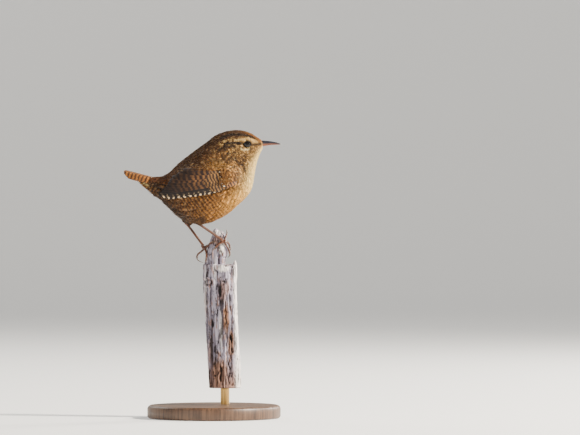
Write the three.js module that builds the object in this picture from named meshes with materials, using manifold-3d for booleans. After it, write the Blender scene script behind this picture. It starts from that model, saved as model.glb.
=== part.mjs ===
// A life-size Eurasian wren on the broken end of a weathered stake, held by a plain display stand.
// Millimetres, +Z up. The bird looks along +X, its right side faces -Y, and the stand's foot is at the origin.
import * as THREE from 'three';
import { mergeVertices } from 'three/addons/utils/BufferGeometryUtils.js';
import Module from 'manifold-3d';

const wasm = await Module();
wasm.setup();

// Driving dimensions
const GAP = 0.3;
const BODY_ROUND = 2.15;
const BODY_LOW_WIDTH = 0.08;
const BODY_AROUND = 32;
const BODY_ALONG = 36;

const BASE_RADIUS = 36;
const BASE_HEIGHT = 7;
const BASE_EDGE = 1.4;
const ROD_RADIUS = 2.4;
const ROD_TOP = 16;

const STAKE_BOTTOM = { x: 5.9, z: ROD_TOP + GAP, radius: 8.7 };
const STAKE_LEDGE = { x: 3.3, z: 82.9, radius: 8.9 };
const STAKE_DEPTH = 0.9;

const EYE_RADIUS = 2.2;
const EYE_CENTRE = { x: 18.3, z: 147.9 };
const EYE_DEPTH = 1.45;
const LID_RADIUS = 1.84;
const LID_THICKNESS = 0.42;

const BILL_BASE_X = 26.3;
const BILL_TIP = { x: 36.2, z: 148.05 };

const VANE_THICKNESS = 0.5;
const TAIL_ROOT = { x: -26.2, z: 126.8 };
const TAIL_LENGTH = 23.4;
const TAIL_RISE = THREE.MathUtils.degToRad(14.5);
const TAIL_ROLL = THREE.MathUtils.degToRad(20);

const HEEL_RADIUS = 1.05;
const SHANK_RADIUS = 0.72;
const PALM_RADIUS = 1.15;
const TOE_RADIUS = 0.62;
const CLAW_RADIUS = 0.46;

// The outline of head, neck, torso and rump in side view: each station joins a point on the
// back (top) to one on the underside (low), and half is half the width there.
const STATIONS = [
  { at: 'bill root', top: [26.3, 149.6], low: [26.6, 146.5], half: 1.9 },
  { at: 'forehead', top: [23.3, 151.5], low: [25.6, 144.7], half: 3.7 },
  { at: 'brow', top: [19.6, 153.8], low: [24.3, 141.9], half: 5.4 },
  { at: 'crown', top: [14.2, 155.3], low: [23.2, 138.6], half: 7.0 },
  { at: 'cheek', top: [7.2, 154.9], low: [22.2, 134.4], half: 8.3 },
  { at: 'nape', top: [0.9, 152.6], low: [21.3, 128.6], half: 10.0 },
  { at: 'neck', top: [-3.9, 149.0], low: [19.4, 122.0], half: 12.4 },
  { at: 'breast', top: [-9.7, 144.8], low: [13.9, 115.9], half: 14.6 },
  { at: 'mantle', top: [-15.9, 140.0], low: [4.5, 108.4], half: 15.4 },
  { at: 'belly', top: [-20.2, 136.5], low: [-6.8, 104.6], half: 14.4 },
  { at: 'flank', top: [-23.4, 133.0], low: [-17.3, 107.2], half: 11.4 },
  { at: 'rump', top: [-26.2, 131.1], low: [-25.0, 114.0], half: 8.0 },
  { at: 'vent', top: [-29.6, 130.2], low: [-30.0, 118.7], half: 5.6 },
  { at: 'tail coverts', top: [-32.8, 129.8], low: [-34.6, 122.0], half: 4.1 },
  { at: 'coverts end', top: [-36.0, 129.0], low: [-38.4, 125.4], half: 2.4 },
];

const COLOURS = {
  crown: { color: 0x7a5a3c, roughness: 0.85 },
  throat: { color: 0xb08f62, roughness: 0.85 },
  body: { color: 0x8a6a43, roughness: 0.85 },
  wing: { color: 0x6b4a30, roughness: 0.75 },
  tail: { color: 0x9a6231, roughness: 0.75 },
  billTop: { color: 0x35303a, roughness: 0.4 },
  billLow: { color: 0xa8703f, roughness: 0.45 },
  eye: { color: 0x0b0908, roughness: 0.05 },
  leg: { color: 0xa2643a, roughness: 0.5 },
  claw: { color: 0x5a4436, roughness: 0.4 },
  stake: { color: 0x9c9494, roughness: 0.95 },
  base: { color: 0x6f5a48, roughness: 0.5 },
  rod: { color: 0x9a8458, roughness: 0.3, metalness: 1 },
};

const vec = (x, y, z) => new THREE.Vector3(x, y, z);
const lerp = THREE.MathUtils.lerp;
const smoothstep = THREE.MathUtils.smoothstep;

// Solids

// A closed geometry as a solid, turned right side out.
function solidOf(geometry) {
  const bare = geometry.clone();
  bare.deleteAttribute('normal');
  bare.deleteAttribute('uv');
  const merged = mergeVertices(bare, 1e-4);
  const corners = merged.index.array;
  const kept = [];
  for (let i = 0; i < corners.length; i += 3) {
    const [a, b, c] = [corners[i], corners[i + 1], corners[i + 2]];
    if (a !== b && b !== c && c !== a) kept.push(a, b, c);
  }
  const build = (triangles) =>
    new wasm.Manifold(
      new wasm.Mesh({
        numProp: 3,
        vertProperties: new Float32Array(merged.attributes.position.array),
        triVerts: new Uint32Array(triangles),
      })
    );
  const made = build(kept);
  return made.volume() >= 0 ? made : build(kept.reverse());
}

function joined(solids) {
  return solids.reduce((sum, solid) => sum.add(solid));
}

// The largest closed surface of a solid: drops loose scraps and fills sealed hollows.
function largest(solid) {
  return solid.decompose().reduce((best, piece) => (piece.volume() > best.volume() ? piece : best));
}

function meshOf(name, solid, look) {
  const { numProp, vertProperties, triVerts } = solid.getMesh();
  const places = new Float32Array((vertProperties.length / numProp) * 3);
  for (let i = 0; i < places.length / 3; i++) {
    places.set(vertProperties.subarray(i * numProp, i * numProp + 3), i * 3);
  }
  const geometry = new THREE.BufferGeometry();
  geometry.setAttribute('position', new THREE.BufferAttribute(places, 3));
  geometry.setIndex(new THREE.BufferAttribute(triVerts, 1));
  geometry.computeVertexNormals();
  const mesh = new THREE.Mesh(geometry, new THREE.MeshStandardMaterial(look));
  mesh.name = name;
  return mesh;
}

// Rings of the same number of points, joined side by side and closed by a fan at each end.
// The quads that otherDiagonal picks are split on their other diagonal, so that both faces of a
// thin vane match.
function loft(rings, otherDiagonal = () => false) {
  const around = rings[0].length;
  const places = rings.flat().flatMap((p) => [p.x, p.y, p.z]);
  const corners = [];
  for (let r = 0; r + 1 < rings.length; r++) {
    for (let k = 0; k < around; k++) {
      const next = (k + 1) % around;
      const [a, b] = [r * around + k, r * around + next];
      const [c, d] = [a + around, b + around];
      if (otherDiagonal(k)) corners.push(a, b, d, a, d, c);
      else corners.push(a, b, c, b, d, c);
    }
  }
  const last = (rings.length - 1) * around;
  for (let k = 1; k + 1 < around; k++) {
    corners.push(0, k + 1, k, last, last + k, last + k + 1);
  }
  const geometry = new THREE.BufferGeometry();
  geometry.setAttribute('position', new THREE.Float32BufferAttribute(places, 3));
  geometry.setIndex(corners);
  return solidOf(geometry);
}

// A round tube along a curve, whose radius is a function of the way along, with an oval section.
function tube(curve, radiusAt, around, steps, flat = 1) {
  const frames = curve.computeFrenetFrames(steps);
  const rings = [];
  for (let i = 0; i <= steps; i++) {
    const centre = curve.getPointAt(i / steps);
    const ring = [];
    for (let k = 0; k < around; k++) {
      const angle = (k / around) * 2 * Math.PI;
      ring.push(
        centre
          .clone()
          .addScaledVector(frames.normals[i], Math.cos(angle) * radiusAt(i / steps))
          .addScaledVector(frames.binormals[i], Math.sin(angle) * radiusAt(i / steps) * flat)
      );
    }
    rings.push(ring);
  }
  return loft(rings);
}

function ball(centre, radius, around = 16, rows = 10, stretch = [1, 1, 1]) {
  const geometry = new THREE.SphereGeometry(radius, around, rows);
  geometry.scale(...stretch).translate(centre.x, centre.y, centre.z);
  return solidOf(geometry);
}

// Head, neck, torso and rump as one outline

const topLine = new THREE.CatmullRomCurve3(STATIONS.map((s) => vec(s.top[0], s.half, s.top[1])));
const lowLine = new THREE.CatmullRomCurve3(STATIONS.map((s) => vec(s.low[0], s.half, s.low[1])));

const power = (value, exponent) => Math.sign(value) * Math.abs(value) ** exponent;

// A point of the body's skin: u runs from bill to tail, angle is 0 on the back, and swell is
// how far outside the skin it lies.
function bodyPoint(u, angle, swell = 0) {
  const top = topLine.getPoint(u);
  const low = lowLine.getPoint(u);
  const half = top.y + swell;
  top.y = 0;
  low.y = 0;
  const centre = top.clone().add(low).multiplyScalar(0.5);
  const up = top.clone().sub(low).multiplyScalar(0.5);
  up.setLength(up.length() + swell);
  const rise = power(Math.cos(angle), 2 / BODY_ROUND);
  const out = power(Math.sin(angle), 2 / BODY_ROUND);
  return centre.addScaledVector(up, rise).add(vec(0, half * out * (1 - BODY_LOW_WIDTH * rise), 0));
}

function bodySolid(swell = 0) {
  const rings = [];
  for (let i = 0; i <= BODY_ALONG; i++) {
    const ring = [];
    for (let k = 0; k < BODY_AROUND; k++) {
      ring.push(bodyPoint(i / BODY_ALONG, (k / BODY_AROUND) * 2 * Math.PI, swell));
    }
    rings.push(ring);
  }
  return loft(rings);
}

// Half the body's width at a place in side view, or 0 outside the outline.
function halfWidthAt(x, z) {
  const past = (u) => {
    const [top, low] = [topLine.getPoint(u), lowLine.getPoint(u)];
    return (low.x - top.x) * (z - top.z) - (low.z - top.z) * (x - top.x);
  };
  let [near, far] = [0.12, 1];
  const sign = Math.sign(past(near));
  if (Math.sign(past(far)) === sign) return 0;
  for (let i = 0; i < 24; i++) {
    const middle = (near + far) / 2;
    if (Math.sign(past(middle)) === sign) near = middle;
    else far = middle;
  }
  const [top, low] = [topLine.getPoint(near), lowLine.getPoint(near)];
  const down = [low.x - top.x, low.z - top.z];
  const share = ((x - top.x) * down[0] + (z - top.z) * down[1]) / (down[0] ** 2 + down[1] ** 2);
  const rise = 1 - 2 * share;
  if (Math.abs(rise) >= 1) return 0;
  const out = (1 - Math.abs(rise) ** BODY_ROUND) ** (1 / BODY_ROUND);
  return top.y * out * (1 - BODY_LOW_WIDTH * rise);
}

// A thin cut across the body along the line between two points in side view.
function partingCut([x0, z0], [x1, z1]) {
  const slab = new THREE.BoxGeometry(120, 60, GAP);
  slab.rotateY(-Math.atan2(z1 - z0, x1 - x0));
  slab.translate((x0 + x1) / 2, 0, (z0 + z1) / 2);
  return solidOf(slab);
}

function bodyPieces() {
  const cuts = [
    partingCut([-0.5, 151.8], [22.1, 135.2]),
    partingCut([-7.5, 146.4], [20.9, 126.3]),
    partingCut([-25.6, 131.4], [-24.2, 113.8]),
  ];
  const middleX = (solid) => {
    const { min, max } = solid.boundingBox();
    return (min[0] + max[0]) / 2;
  };
  const pieces = cuts.reduce((rest, cut) => rest.subtract(cut), bodySolid()).decompose();
  return pieces.sort((a, b) => middleX(b) - middleX(a));
}

// Head

// Where an eye's ball sits, and the way that it looks.
function eyePlace(side) {
  const { x, z } = EYE_CENTRE;
  const step = 0.8;
  const slope = [
    (halfWidthAt(x + step, z) - halfWidthAt(x - step, z)) / (2 * step),
    (halfWidthAt(x, z + step) - halfWidthAt(x, z - step)) / (2 * step),
  ];
  const look = vec(-slope[0], side, -slope[1]).normalize();
  const skin = vec(x, side * halfWidthAt(x, z), z);
  return { look, skin, centre: skin.clone().addScaledVector(look, -EYE_DEPTH) };
}

function lidSolid(side) {
  const { look, skin } = eyePlace(side);
  const ring = new THREE.TorusGeometry(LID_RADIUS, LID_THICKNESS, 6, 16);
  ring.scale(1, 0.92, 1);
  ring.applyQuaternion(new THREE.Quaternion().setFromUnitVectors(vec(0, 0, 1), look));
  ring.translate(skin.x, skin.y, skin.z);
  return solidOf(ring);
}

function headSolid(front) {
  let head = front;
  for (const side of [-1, 1]) head = head.add(lidSolid(side));
  for (const side of [-1, 1]) {
    head = head.subtract(ball(eyePlace(side).centre, EYE_RADIUS + GAP, 14, 9));
  }
  const face = new THREE.BoxGeometry(4, 20, 20).translate(BILL_BASE_X - GAP + 2, 0, BILL_TIP.z);
  return largest(head.subtract(solidOf(face)));
}

// One half of the bill: edge is 1 for the upper half and -1 for the lower, depth its height at
// the root, and the mouth line lies along its flat side.
function billSolid(edge, depth, halfWidth, droop) {
  const steps = 10;
  const around = 10;
  const rings = [];
  for (let i = 0; i <= steps; i++) {
    const t = i / steps;
    const length = BILL_TIP.x - BILL_BASE_X - (edge < 0 ? 0.35 : 0);
    const x = BILL_BASE_X + t * length;
    const mouth = 148.0 + 0.25 * Math.sin(t * Math.PI) + (edge * GAP) / 2;
    const fade = (1 - t) ** 0.75;
    const height = lerp(0.16, depth, fade);
    const half = lerp(0.14, halfWidth, (1 - t) ** 0.9);
    const sink = droop * t ** 3;
    const ring = [];
    for (let k = 0; k < around; k++) {
      const angle = (k / (around - 1)) * Math.PI;
      ring.push(vec(x, Math.cos(angle) * half, mouth - sink + edge * Math.sin(angle) ** 0.8 * height));
    }
    rings.push(ring);
  }
  return loft(rings);
}

function upperBill() {
  const whole = billSolid(1, 1.8, 1.45, 0.25);
  const nostrils = [-1, 1].map((side) =>
    ball(vec(28.2, side * 1.42, 148.95), 0.42, 10, 6, [1, 1, 1]).intersect(
      ball(vec(28.2, side * 1.3, 148.95), 0.9, 10, 6, [1, 1, 0.35])
    )
  );
  return largest(whole.subtract(joined(nostrils)));
}

// Vanes: flat feathers with a slight roof, thinner at the tip

// The width of a vane along its length, as a share of its greatest width.
function vaneWidth(t, roundFrom = 0.72) {
  const body = lerp(0.6, 1, smoothstep(t, 0, 0.4));
  const tip = t > roundFrom ? Math.sqrt(Math.max(0.03, 1 - ((t - roundFrom) / (1 - roundFrom)) ** 2)) : 1;
  return body * tip;
}

// A vane whose places come from placeOf(along, across, height), all in millimetres.
function vane(placeOf, { width, steps = 5, low = 0, tilt = 0, bend = () => 0 }) {
  const rings = [];
  for (let i = 0; i <= steps; i++) {
    const t = 1 - (1 - i / steps) ** 1.25;
    const half = (width / 2) * vaneWidth(t);
    const thick = lerp(VANE_THICKNESS, VANE_THICKNESS * 0.6, t);
    const floor = low + bend(t);
    const corners = [
      [-1, 0],
      [1, 0],
      [1, 1],
      [-1, 1],
    ];
    rings.push(corners.map(([a, h]) => placeOf(t, a * half, floor + a * tilt * half + h * thick)));
  }
  return loft(rings, (k) => k === 2);
}

// Wings

const LEFT_WING_BACK = 3.2;
const WING_BULGE = { x: 2, z: 119, fore: 28, aft: 44, high: 20.5, half: 15 };
const WING_SOFT = 1.2;

// Half the width of the folded wing's inner face in side view.
function wingBase(x, z) {
  const along = (x - WING_BULGE.x) / (x > WING_BULGE.x ? WING_BULGE.fore : WING_BULGE.aft);
  const above = (z - WING_BULGE.z) / WING_BULGE.high;
  const bulge = WING_BULGE.half * Math.max(0, 1 - along ** 2) * Math.sqrt(Math.max(0, 1 - above ** 2));
  const skin = halfWidthAt(x, z) + GAP;
  return 0.5 * (skin + bulge + Math.sqrt((skin - bulge) ** 2 + WING_SOFT ** 2)) - 0.2;
}

// A point over the wing's inner face: height is measured square to that face. The left wing
// lies a little further back than the right one.
function wingPoint(side, foldX, z, height) {
  const step = 0.5;
  const x = foldX - (side > 0 ? LEFT_WING_BACK : 0);
  const slopeX = (wingBase(x + step, z) - wingBase(x - step, z)) / (2 * step);
  const slopeZ = (wingBase(x, z + step) - wingBase(x, z - step)) / (2 * step);
  const out = vec(-slopeX, 1, -slopeZ).normalize();
  const place = vec(x, wingBase(x, z), z).addScaledVector(out, height);
  place.y *= side;
  return place;
}

const line = (...points) => new THREE.CatmullRomCurve3(points.map(([x, z]) => vec(x, 0, z)));

// Each tier of wing feathers runs from a line of roots to a line of tips.
const WING_TIERS = [
  {
    name: 'primaries',
    count: 8,
    roots: line([8.5, 126.8], [5.5, 128.0], [2.5, 129.4]),
    tips: line([-9.5, 121.2], [-20.5, 119.4], [-28.0, 119.4], [-29.8, 120.6], [-27.4, 122.8]),
    width: 3.0,
    low: [0.7, 1.0],
    bow: -1.0,
    tilt: 0.25,
    steps: 5,
  },
  {
    name: 'secondaries',
    count: 6,
    roots: line([4.5, 127.8], [3.5, 130.5], [1.5, 133.0]),
    tips: line([-26.4, 123.0], [-24.3, 126.0], [-21.5, 129.4], [-15.6, 132.8]),
    width: 3.6,
    low: [1.0, 1.3],
    bow: -0.6,
    tilt: 0.25,
    steps: 5,
  },
  {
    name: 'greater coverts',
    count: 6,
    roots: line([9.4, 127.6], [7.4, 131.0], [4.5, 134.0]),
    tips: line([-1.6, 123.6], [-5.0, 126.6], [-6.4, 129.6], [-6.2, 133.4]),
    width: 3.0,
    low: [1.5, 1.6],
    bow: -0.4,
    tilt: 0.25,
    steps: 3,
  },
  {
    name: 'median coverts',
    count: 5,
    roots: line([11.6, 129.0], [10.2, 131.8], [8.2, 134.2]),
    tips: line([5.2, 126.4], [3.2, 130.2], [2.2, 134.0]),
    width: 3.0,
    low: [2.0, 2.0],
    bow: 0,
    tilt: 0.25,
    steps: 2,
  },
];

function wingVanes(side, tier) {
  const vanes = [];
  for (let i = 0; i < tier.count; i++) {
    const share = i / (tier.count - 1);
    const root = tier.roots.getPointAt(share);
    const tip = tier.tips.getPointAt(share);
    const way = tip.clone().sub(root);
    const across = vec(-way.z, 0, way.x).normalize();
    const low = lerp(tier.low[0], tier.low[1], share);
    const placeOf = (t, off, height) => {
      const at = root.clone().addScaledVector(way, t);
      at.addScaledVector(across, off - tier.bow * 4 * t * (1 - t));
      return wingPoint(side, at.x, at.z, height);
    };
    vanes.push(vane(placeOf, { width: tier.width, steps: tier.steps, low, tilt: tier.tilt }));
  }
  return vanes;
}

// The fleshy arm of the wing under the coverts: it lies on the body and holds every feather's root.
function wingArm(side) {
  const middle = { x: 4.6, z: 129.6, long: 9.6, high: 6.2, lean: 0.12 };
  const shape = new THREE.SphereGeometry(1, 14, 7);
  const places = shape.getAttribute('position');
  for (let i = 0; i < places.count; i++) {
    const [a, b, c] = [places.getX(i), places.getY(i), places.getZ(i)];
    const x = middle.x + a * middle.long;
    const z = middle.z + c * middle.high + a * middle.lean * middle.long;
    const height = b > 0 ? 0.6 + 1.7 * b : 0.6 + 1.4 * b;
    const at = wingPoint(side, x, z, height);
    places.setXYZ(i, at.x, at.y, at.z);
  }
  return solidOf(shape);
}

function wingSolid(side, body) {
  const vanes = WING_TIERS.flatMap((tier) => wingVanes(side, tier));
  return largest(joined([wingArm(side), ...vanes]).subtract(body));
}

// Tail

const tailWay = vec(-Math.cos(TAIL_RISE), 0, Math.sin(TAIL_RISE));
const tailUp = vec(Math.sin(TAIL_RISE), 0, Math.cos(TAIL_RISE));
const tailSide = vec(0, 1, 0).applyAxisAngle(tailWay, -TAIL_ROLL);
const tailTop = tailUp.clone().applyAxisAngle(tailWay, -TAIL_ROLL);

// Six pairs of tail feathers, each lower and further out than the pair before it.
function tailVanes() {
  const vanes = [];
  for (let pair = 5; pair >= 0; pair--) {
    for (const side of [-1, 1]) {
      const length = TAIL_LENGTH - 0.12 * pair ** 2 - (side > 0 ? 0.4 : 0);
      const placeOf = (t, off, height) => {
        const out = side * lerp(0.25 + 0.2 * pair, 0.55 + 0.56 * pair, t);
        const down = pair * lerp(0.34, 0.42, t);
        return vec(TAIL_ROOT.x, 0, TAIL_ROOT.z)
          .addScaledVector(tailWay, t * length)
          .addScaledVector(tailSide, out + off)
          .addScaledVector(tailTop, height - down - side * off * 0.1);
      };
      vanes.push(vane(placeOf, { width: 3.5, steps: 4, low: 0.9 + (side > 0 ? 0.12 : 0) }));
    }
  }
  return vanes;
}

// Stake

const BARK_WAVES = [
  { folds: 3, depth: 0.045, turn: 0.03, start: 1.1 },
  { folds: 7, depth: 0.03, turn: -0.05, start: 0.4 },
  { folds: 11, depth: 0.018, turn: 0.11, start: 2.0 },
];

function barkWave(angle, z) {
  return BARK_WAVES.reduce((sum, w) => sum + w.depth * Math.cos(w.folds * angle + w.turn * z + w.start), 1);
}

const KNOB = [
  { x: 2.4, z: 76.0, radius: 7.4 },
  { x: 0.7, z: 84.2, radius: 5.5 },
  { x: 2.2, z: 90.4, radius: 5.9 },
  { x: 2.5, z: 95.6, radius: 4.8 },
  { x: 2.6, z: 99.0, radius: 3.7 },
  { x: 2.4, z: 101.0, radius: 2.2 },
];

// The knob's middle and radius at a height.
function knobAt(z) {
  const last = KNOB.length - 2;
  const i = Math.min(last, Math.max(0, KNOB.findIndex((s, k) => k > last || z < KNOB[k + 1].z)));
  const t = THREE.MathUtils.clamp((z - KNOB[i].z) / (KNOB[i + 1].z - KNOB[i].z), 0, 1);
  const s = smoothstep(t, 0, 1) * 0.5 + t * 0.5;
  return { x: lerp(KNOB[i].x, KNOB[i + 1].x, s), radius: lerp(KNOB[i].radius, KNOB[i + 1].radius, s) };
}

// A point at a clearance from the knob's surface: 0 degrees faces +X, -90 the bird's right.
function knobPoint(degrees, z, clearance = 0) {
  const angle = THREE.MathUtils.degToRad(degrees);
  const { x, radius } = knobAt(z);
  const reach = radius * barkWave(angle, z) + clearance;
  return vec(x + Math.cos(angle) * reach, Math.sin(angle) * reach * STAKE_DEPTH, z);
}

function shaftRing(z, around) {
  const t = (z - STAKE_BOTTOM.z) / (STAKE_LEDGE.z - STAKE_BOTTOM.z);
  const x = lerp(STAKE_BOTTOM.x, STAKE_LEDGE.x, t);
  const radius = lerp(STAKE_BOTTOM.radius, STAKE_LEDGE.radius, t);
  const ring = [];
  for (let k = 0; k < around; k++) {
    const angle = (k / around) * 2 * Math.PI;
    const reach = radius * barkWave(angle, z);
    ring.push(vec(x + Math.cos(angle) * reach, Math.sin(angle) * reach * STAKE_DEPTH, z));
  }
  return ring;
}

// The upright splinter left standing on the stake's right edge, from the ledge's outer rim.
function splinter() {
  const levels = [
    { z: 70, x: 10.4, long: 1.4, deep: 4.0 },
    { z: 78, x: 10.9, long: 1.5, deep: 3.4 },
    { z: 83, x: 11.2, long: 1.1, deep: 2.4 },
    { z: 85, x: 11.3, long: 0.6, deep: 1.4 },
  ];
  return loft(
    levels.map(({ z, x, long, deep }) =>
      [0, 1, 2, 3, 4, 5, 6, 7].map((k) =>
        vec(x + Math.cos((k * Math.PI) / 4) * long, Math.sin((k * Math.PI) / 4) * deep, z)
      )
    )
  );
}

function stakeSolid() {
  const around = 24;
  const shaft = [];
  const levels = 12;
  for (let i = 0; i <= levels; i++) {
    shaft.push(shaftRing(lerp(STAKE_BOTTOM.z, STAKE_LEDGE.z, i / levels), around));
  }
  const knob = [];
  const knobLevels = 10;
  for (let i = 0; i <= knobLevels; i++) {
    const z = lerp(KNOB[0].z, KNOB[KNOB.length - 1].z, i / knobLevels);
    knob.push(Array.from({ length: 20 }, (_, k) => knobPoint(k * 18, z)));
  }
  const lumps = [
    ball(vec(1.0, -0.4, 100.3), 2.1, 12, 8, [0.9, 1, 1]),
    ball(vec(3.9, 0.5, 99.4), 1.9, 12, 8, [0.9, 1.1, 0.9]),
  ];
  return largest(joined([loft(shaft), loft(knob), splinter(), ...lumps]));
}

// Legs and feet. A digit follows points on the knob, given as degrees, height and clearance,
// and its last part is the claw.
const LEGS = [
  {
    name: 'left',
    hip: vec(-10.5, 7.0, 113.5),
    heel: vec(-15.1, 4.8, 105.3),
    ankle: knobPoint(192, 91.8, 1.35),
    digits: [
      { claw: 0.58, way: [[188, 90.2, 2.6], [186, 88.2, 4.6], [188, 86.0, 4.5], [192, 84.4, 2.6], [198, 83.9, 0.9]] },
      { claw: 0.66, way: [[206, 93.0, 1.1], [222, 94.6, 1.0], [240, 95.4, 1.0], [252, 95.2, 1.4], [260, 94.0, 0.7]] },
      { claw: 0.62, way: [[204, 90.2, 1.3], [212, 88.2, 1.3], [216, 86.4, 1.4], [219, 84.9, 1.6], [224, 83.9, 0.8]] },
      { claw: 0.64, way: [[170, 92.8, 1.1], [148, 93.2, 1.0], [126, 92.8, 1.0], [110, 91.8, 1.4], [102, 90.2, 0.7]] },
    ],
  },
  {
    name: 'right',
    hip: vec(-3.5, -7.5, 113.5),
    heel: vec(-9.1, -5.6, 105.5),
    ankle: knobPoint(-58, 95.2, 1.4),
    digits: [
      { claw: 0.56, way: [[-76, 94.8, 1.3], [-92, 93.4, 1.1], [-104, 91.8, 1.1], [-112, 90.4, 1.6], [-118, 88.8, 0.8]] },
      { claw: 0.66, way: [[-46, 93.4, 1.1], [-34, 91.4, 1.1], [-22, 89.4, 1.1], [-12, 88.0, 1.6], [-4, 86.4, 0.9]] },
      { claw: 0.66, way: [[-36, 95.0, 1.1], [-14, 93.8, 1.0], [10, 92.2, 1.0], [26, 91.0, 1.4], [36, 89.4, 0.7]] },
      { claw: 0.6, way: [[-50, 96.8, 1.2], [-38, 98.4, 1.4], [-26, 99.9, 2.2], [-20, 101.0, 2.6], [-16, 101.9, 2.6]] },
    ],
  },
];

function digitCurve(leg, digit) {
  return new THREE.CatmullRomCurve3([leg.ankle, ...digit.way.map(([a, z, c]) => knobPoint(a, z, c))]);
}

// The part of a curve between two shares of its length.
function stretchOf(curve, from, to) {
  const points = [];
  for (let i = 0; i <= 8; i++) points.push(curve.getPointAt(lerp(from, to, i / 8)));
  return new THREE.CatmullRomCurve3(points);
}

function toeSolid(leg, digit) {
  const curve = stretchOf(digitCurve(leg, digit), 0, digit.claw);
  const knuckles = (t) => TOE_RADIUS * (1.08 - 0.2 * t + 0.1 * Math.cos(t * 6 * Math.PI));
  return tube(curve, knuckles, 6, 7);
}

function clawSolid(leg, digit) {
  const whole = digitCurve(leg, digit);
  const curve = stretchOf(whole, digit.claw + GAP / whole.getLength(), 1);
  return tube(curve, (t) => lerp(CLAW_RADIUS, 0.12, t ** 1.3), 5, 5, 0.8);
}

function footSolid(leg, stake) {
  const palm = ball(leg.ankle, PALM_RADIUS, 10, 7);
  return largest(joined([palm, ...leg.digits.map((digit) => toeSolid(leg, digit))]).subtract(stake));
}

function shankSolid(leg, body) {
  const curve = new THREE.CatmullRomCurve3([leg.heel, leg.heel.clone().lerp(leg.ankle, 0.5), leg.ankle]);
  const radius = (t) => SHANK_RADIUS * (1 + 0.4 * (1 - smoothstep(t, 0, 0.16)) + 0.3 * smoothstep(t, 0.84, 1));
  const shank = joined([tube(curve, radius, 8, 8), ball(leg.heel, HEEL_RADIUS, 10, 6)]);
  return largest(shank.subtract(body).subtract(ball(leg.ankle, PALM_RADIUS + 2 * GAP, 12, 8)));
}

// The feathered upper leg, from the belly to just round the heel.
function thighSolid(leg, body) {
  const past = leg.heel.clone().lerp(leg.ankle, 0.06);
  const curve = new THREE.CatmullRomCurve3([leg.hip, leg.hip.clone().lerp(leg.heel, 0.55), leg.heel, past]);
  const thigh = tube(curve, (t) => lerp(4.4, 1.75, t ** 0.8), 10, 6);
  const hollow = ball(leg.heel, HEEL_RADIUS + GAP, 10, 7);
  const shankRoom = tube(
    new THREE.CatmullRomCurve3([leg.heel, leg.heel.clone().lerp(leg.ankle, 0.3), leg.ankle]),
    () => SHANK_RADIUS * 1.4 + GAP,
    9,
    3
  );
  return largest(thigh.subtract(body).subtract(hollow).subtract(shankRoom));
}

// Stand

function standBase() {
  const profile = [
    [0, 0],
    [BASE_RADIUS, 0],
    [BASE_RADIUS, BASE_HEIGHT - BASE_EDGE],
    [BASE_RADIUS - BASE_EDGE * 0.3, BASE_HEIGHT - BASE_EDGE * 0.3],
    [BASE_RADIUS - BASE_EDGE, BASE_HEIGHT],
    [0, BASE_HEIGHT],
  ];
  const turned = new THREE.LatheGeometry(profile.map(([r, h]) => new THREE.Vector2(r, h)), 48);
  return solidOf(turned.rotateX(Math.PI / 2));
}

function standRod() {
  const low = BASE_HEIGHT + GAP;
  const rod = new THREE.CylinderGeometry(ROD_RADIUS, ROD_RADIUS, ROD_TOP - low, 24);
  return solidOf(rod.rotateX(Math.PI / 2).translate(STAKE_BOTTOM.x, 0, (ROD_TOP + low) / 2));
}

// The whole model

const model = new THREE.Group();
const add = (name, solid, look) => model.add(meshOf(name, solid, look));

const clearBody = bodySolid(GAP);
const [front, neck, torso, rump] = bodyPieces();
const stake = stakeSolid();

add('head', headSolid(front), COLOURS.crown);
add('neck', neck, COLOURS.throat);
add('torso', torso, COLOURS.body);
add('bill_upper', upperBill(), COLOURS.billTop);
add('bill_lower', billSolid(-1, 1.35, 1.35, 0.15), COLOURS.billLow);
for (const [name, side] of [['right', -1], ['left', 1]]) {
  add(`eye_${name}`, ball(eyePlace(side).centre, EYE_RADIUS, 14, 9), COLOURS.eye);
}

const tail = largest(joined([rump, ...tailVanes()]).subtract(partingCut([-25.6, 131.4], [-24.2, 113.8])));
add('tail', tail, COLOURS.tail);
for (const [name, side] of [['right', -1], ['left', 1]]) {
  add(`wing_${name}`, wingSolid(side, clearBody), COLOURS.wing);
}

for (const leg of LEGS) {
  add(`thigh_${leg.name}`, thighSolid(leg, clearBody), COLOURS.body);
  add(`shank_${leg.name}`, shankSolid(leg, clearBody), COLOURS.leg);
  add(`foot_${leg.name}`, footSolid(leg, stake), COLOURS.leg);
  leg.digits.forEach((digit, i) => add(`claw_${leg.name}_${i + 1}`, clawSolid(leg, digit), COLOURS.claw));
}

add('stake', stake, COLOURS.stake);
add('stand_rod', standRod(), COLOURS.rod);
add('stand_base', standBase(), COLOURS.base);

export default model;
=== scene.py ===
# A life-size wren on the broken end of a weathered stake, held by a plain round stand.
# Metres, +Z up. The bird looks along +X, and its right side, the one in view, faces -Y.
# Shapes are worked out in millimetres and made metres when their mesh is made.
import math

import bmesh
import bpy
import numpy as np
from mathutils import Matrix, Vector, noise
from mathutils.bvhtree import BVHTree


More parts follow.
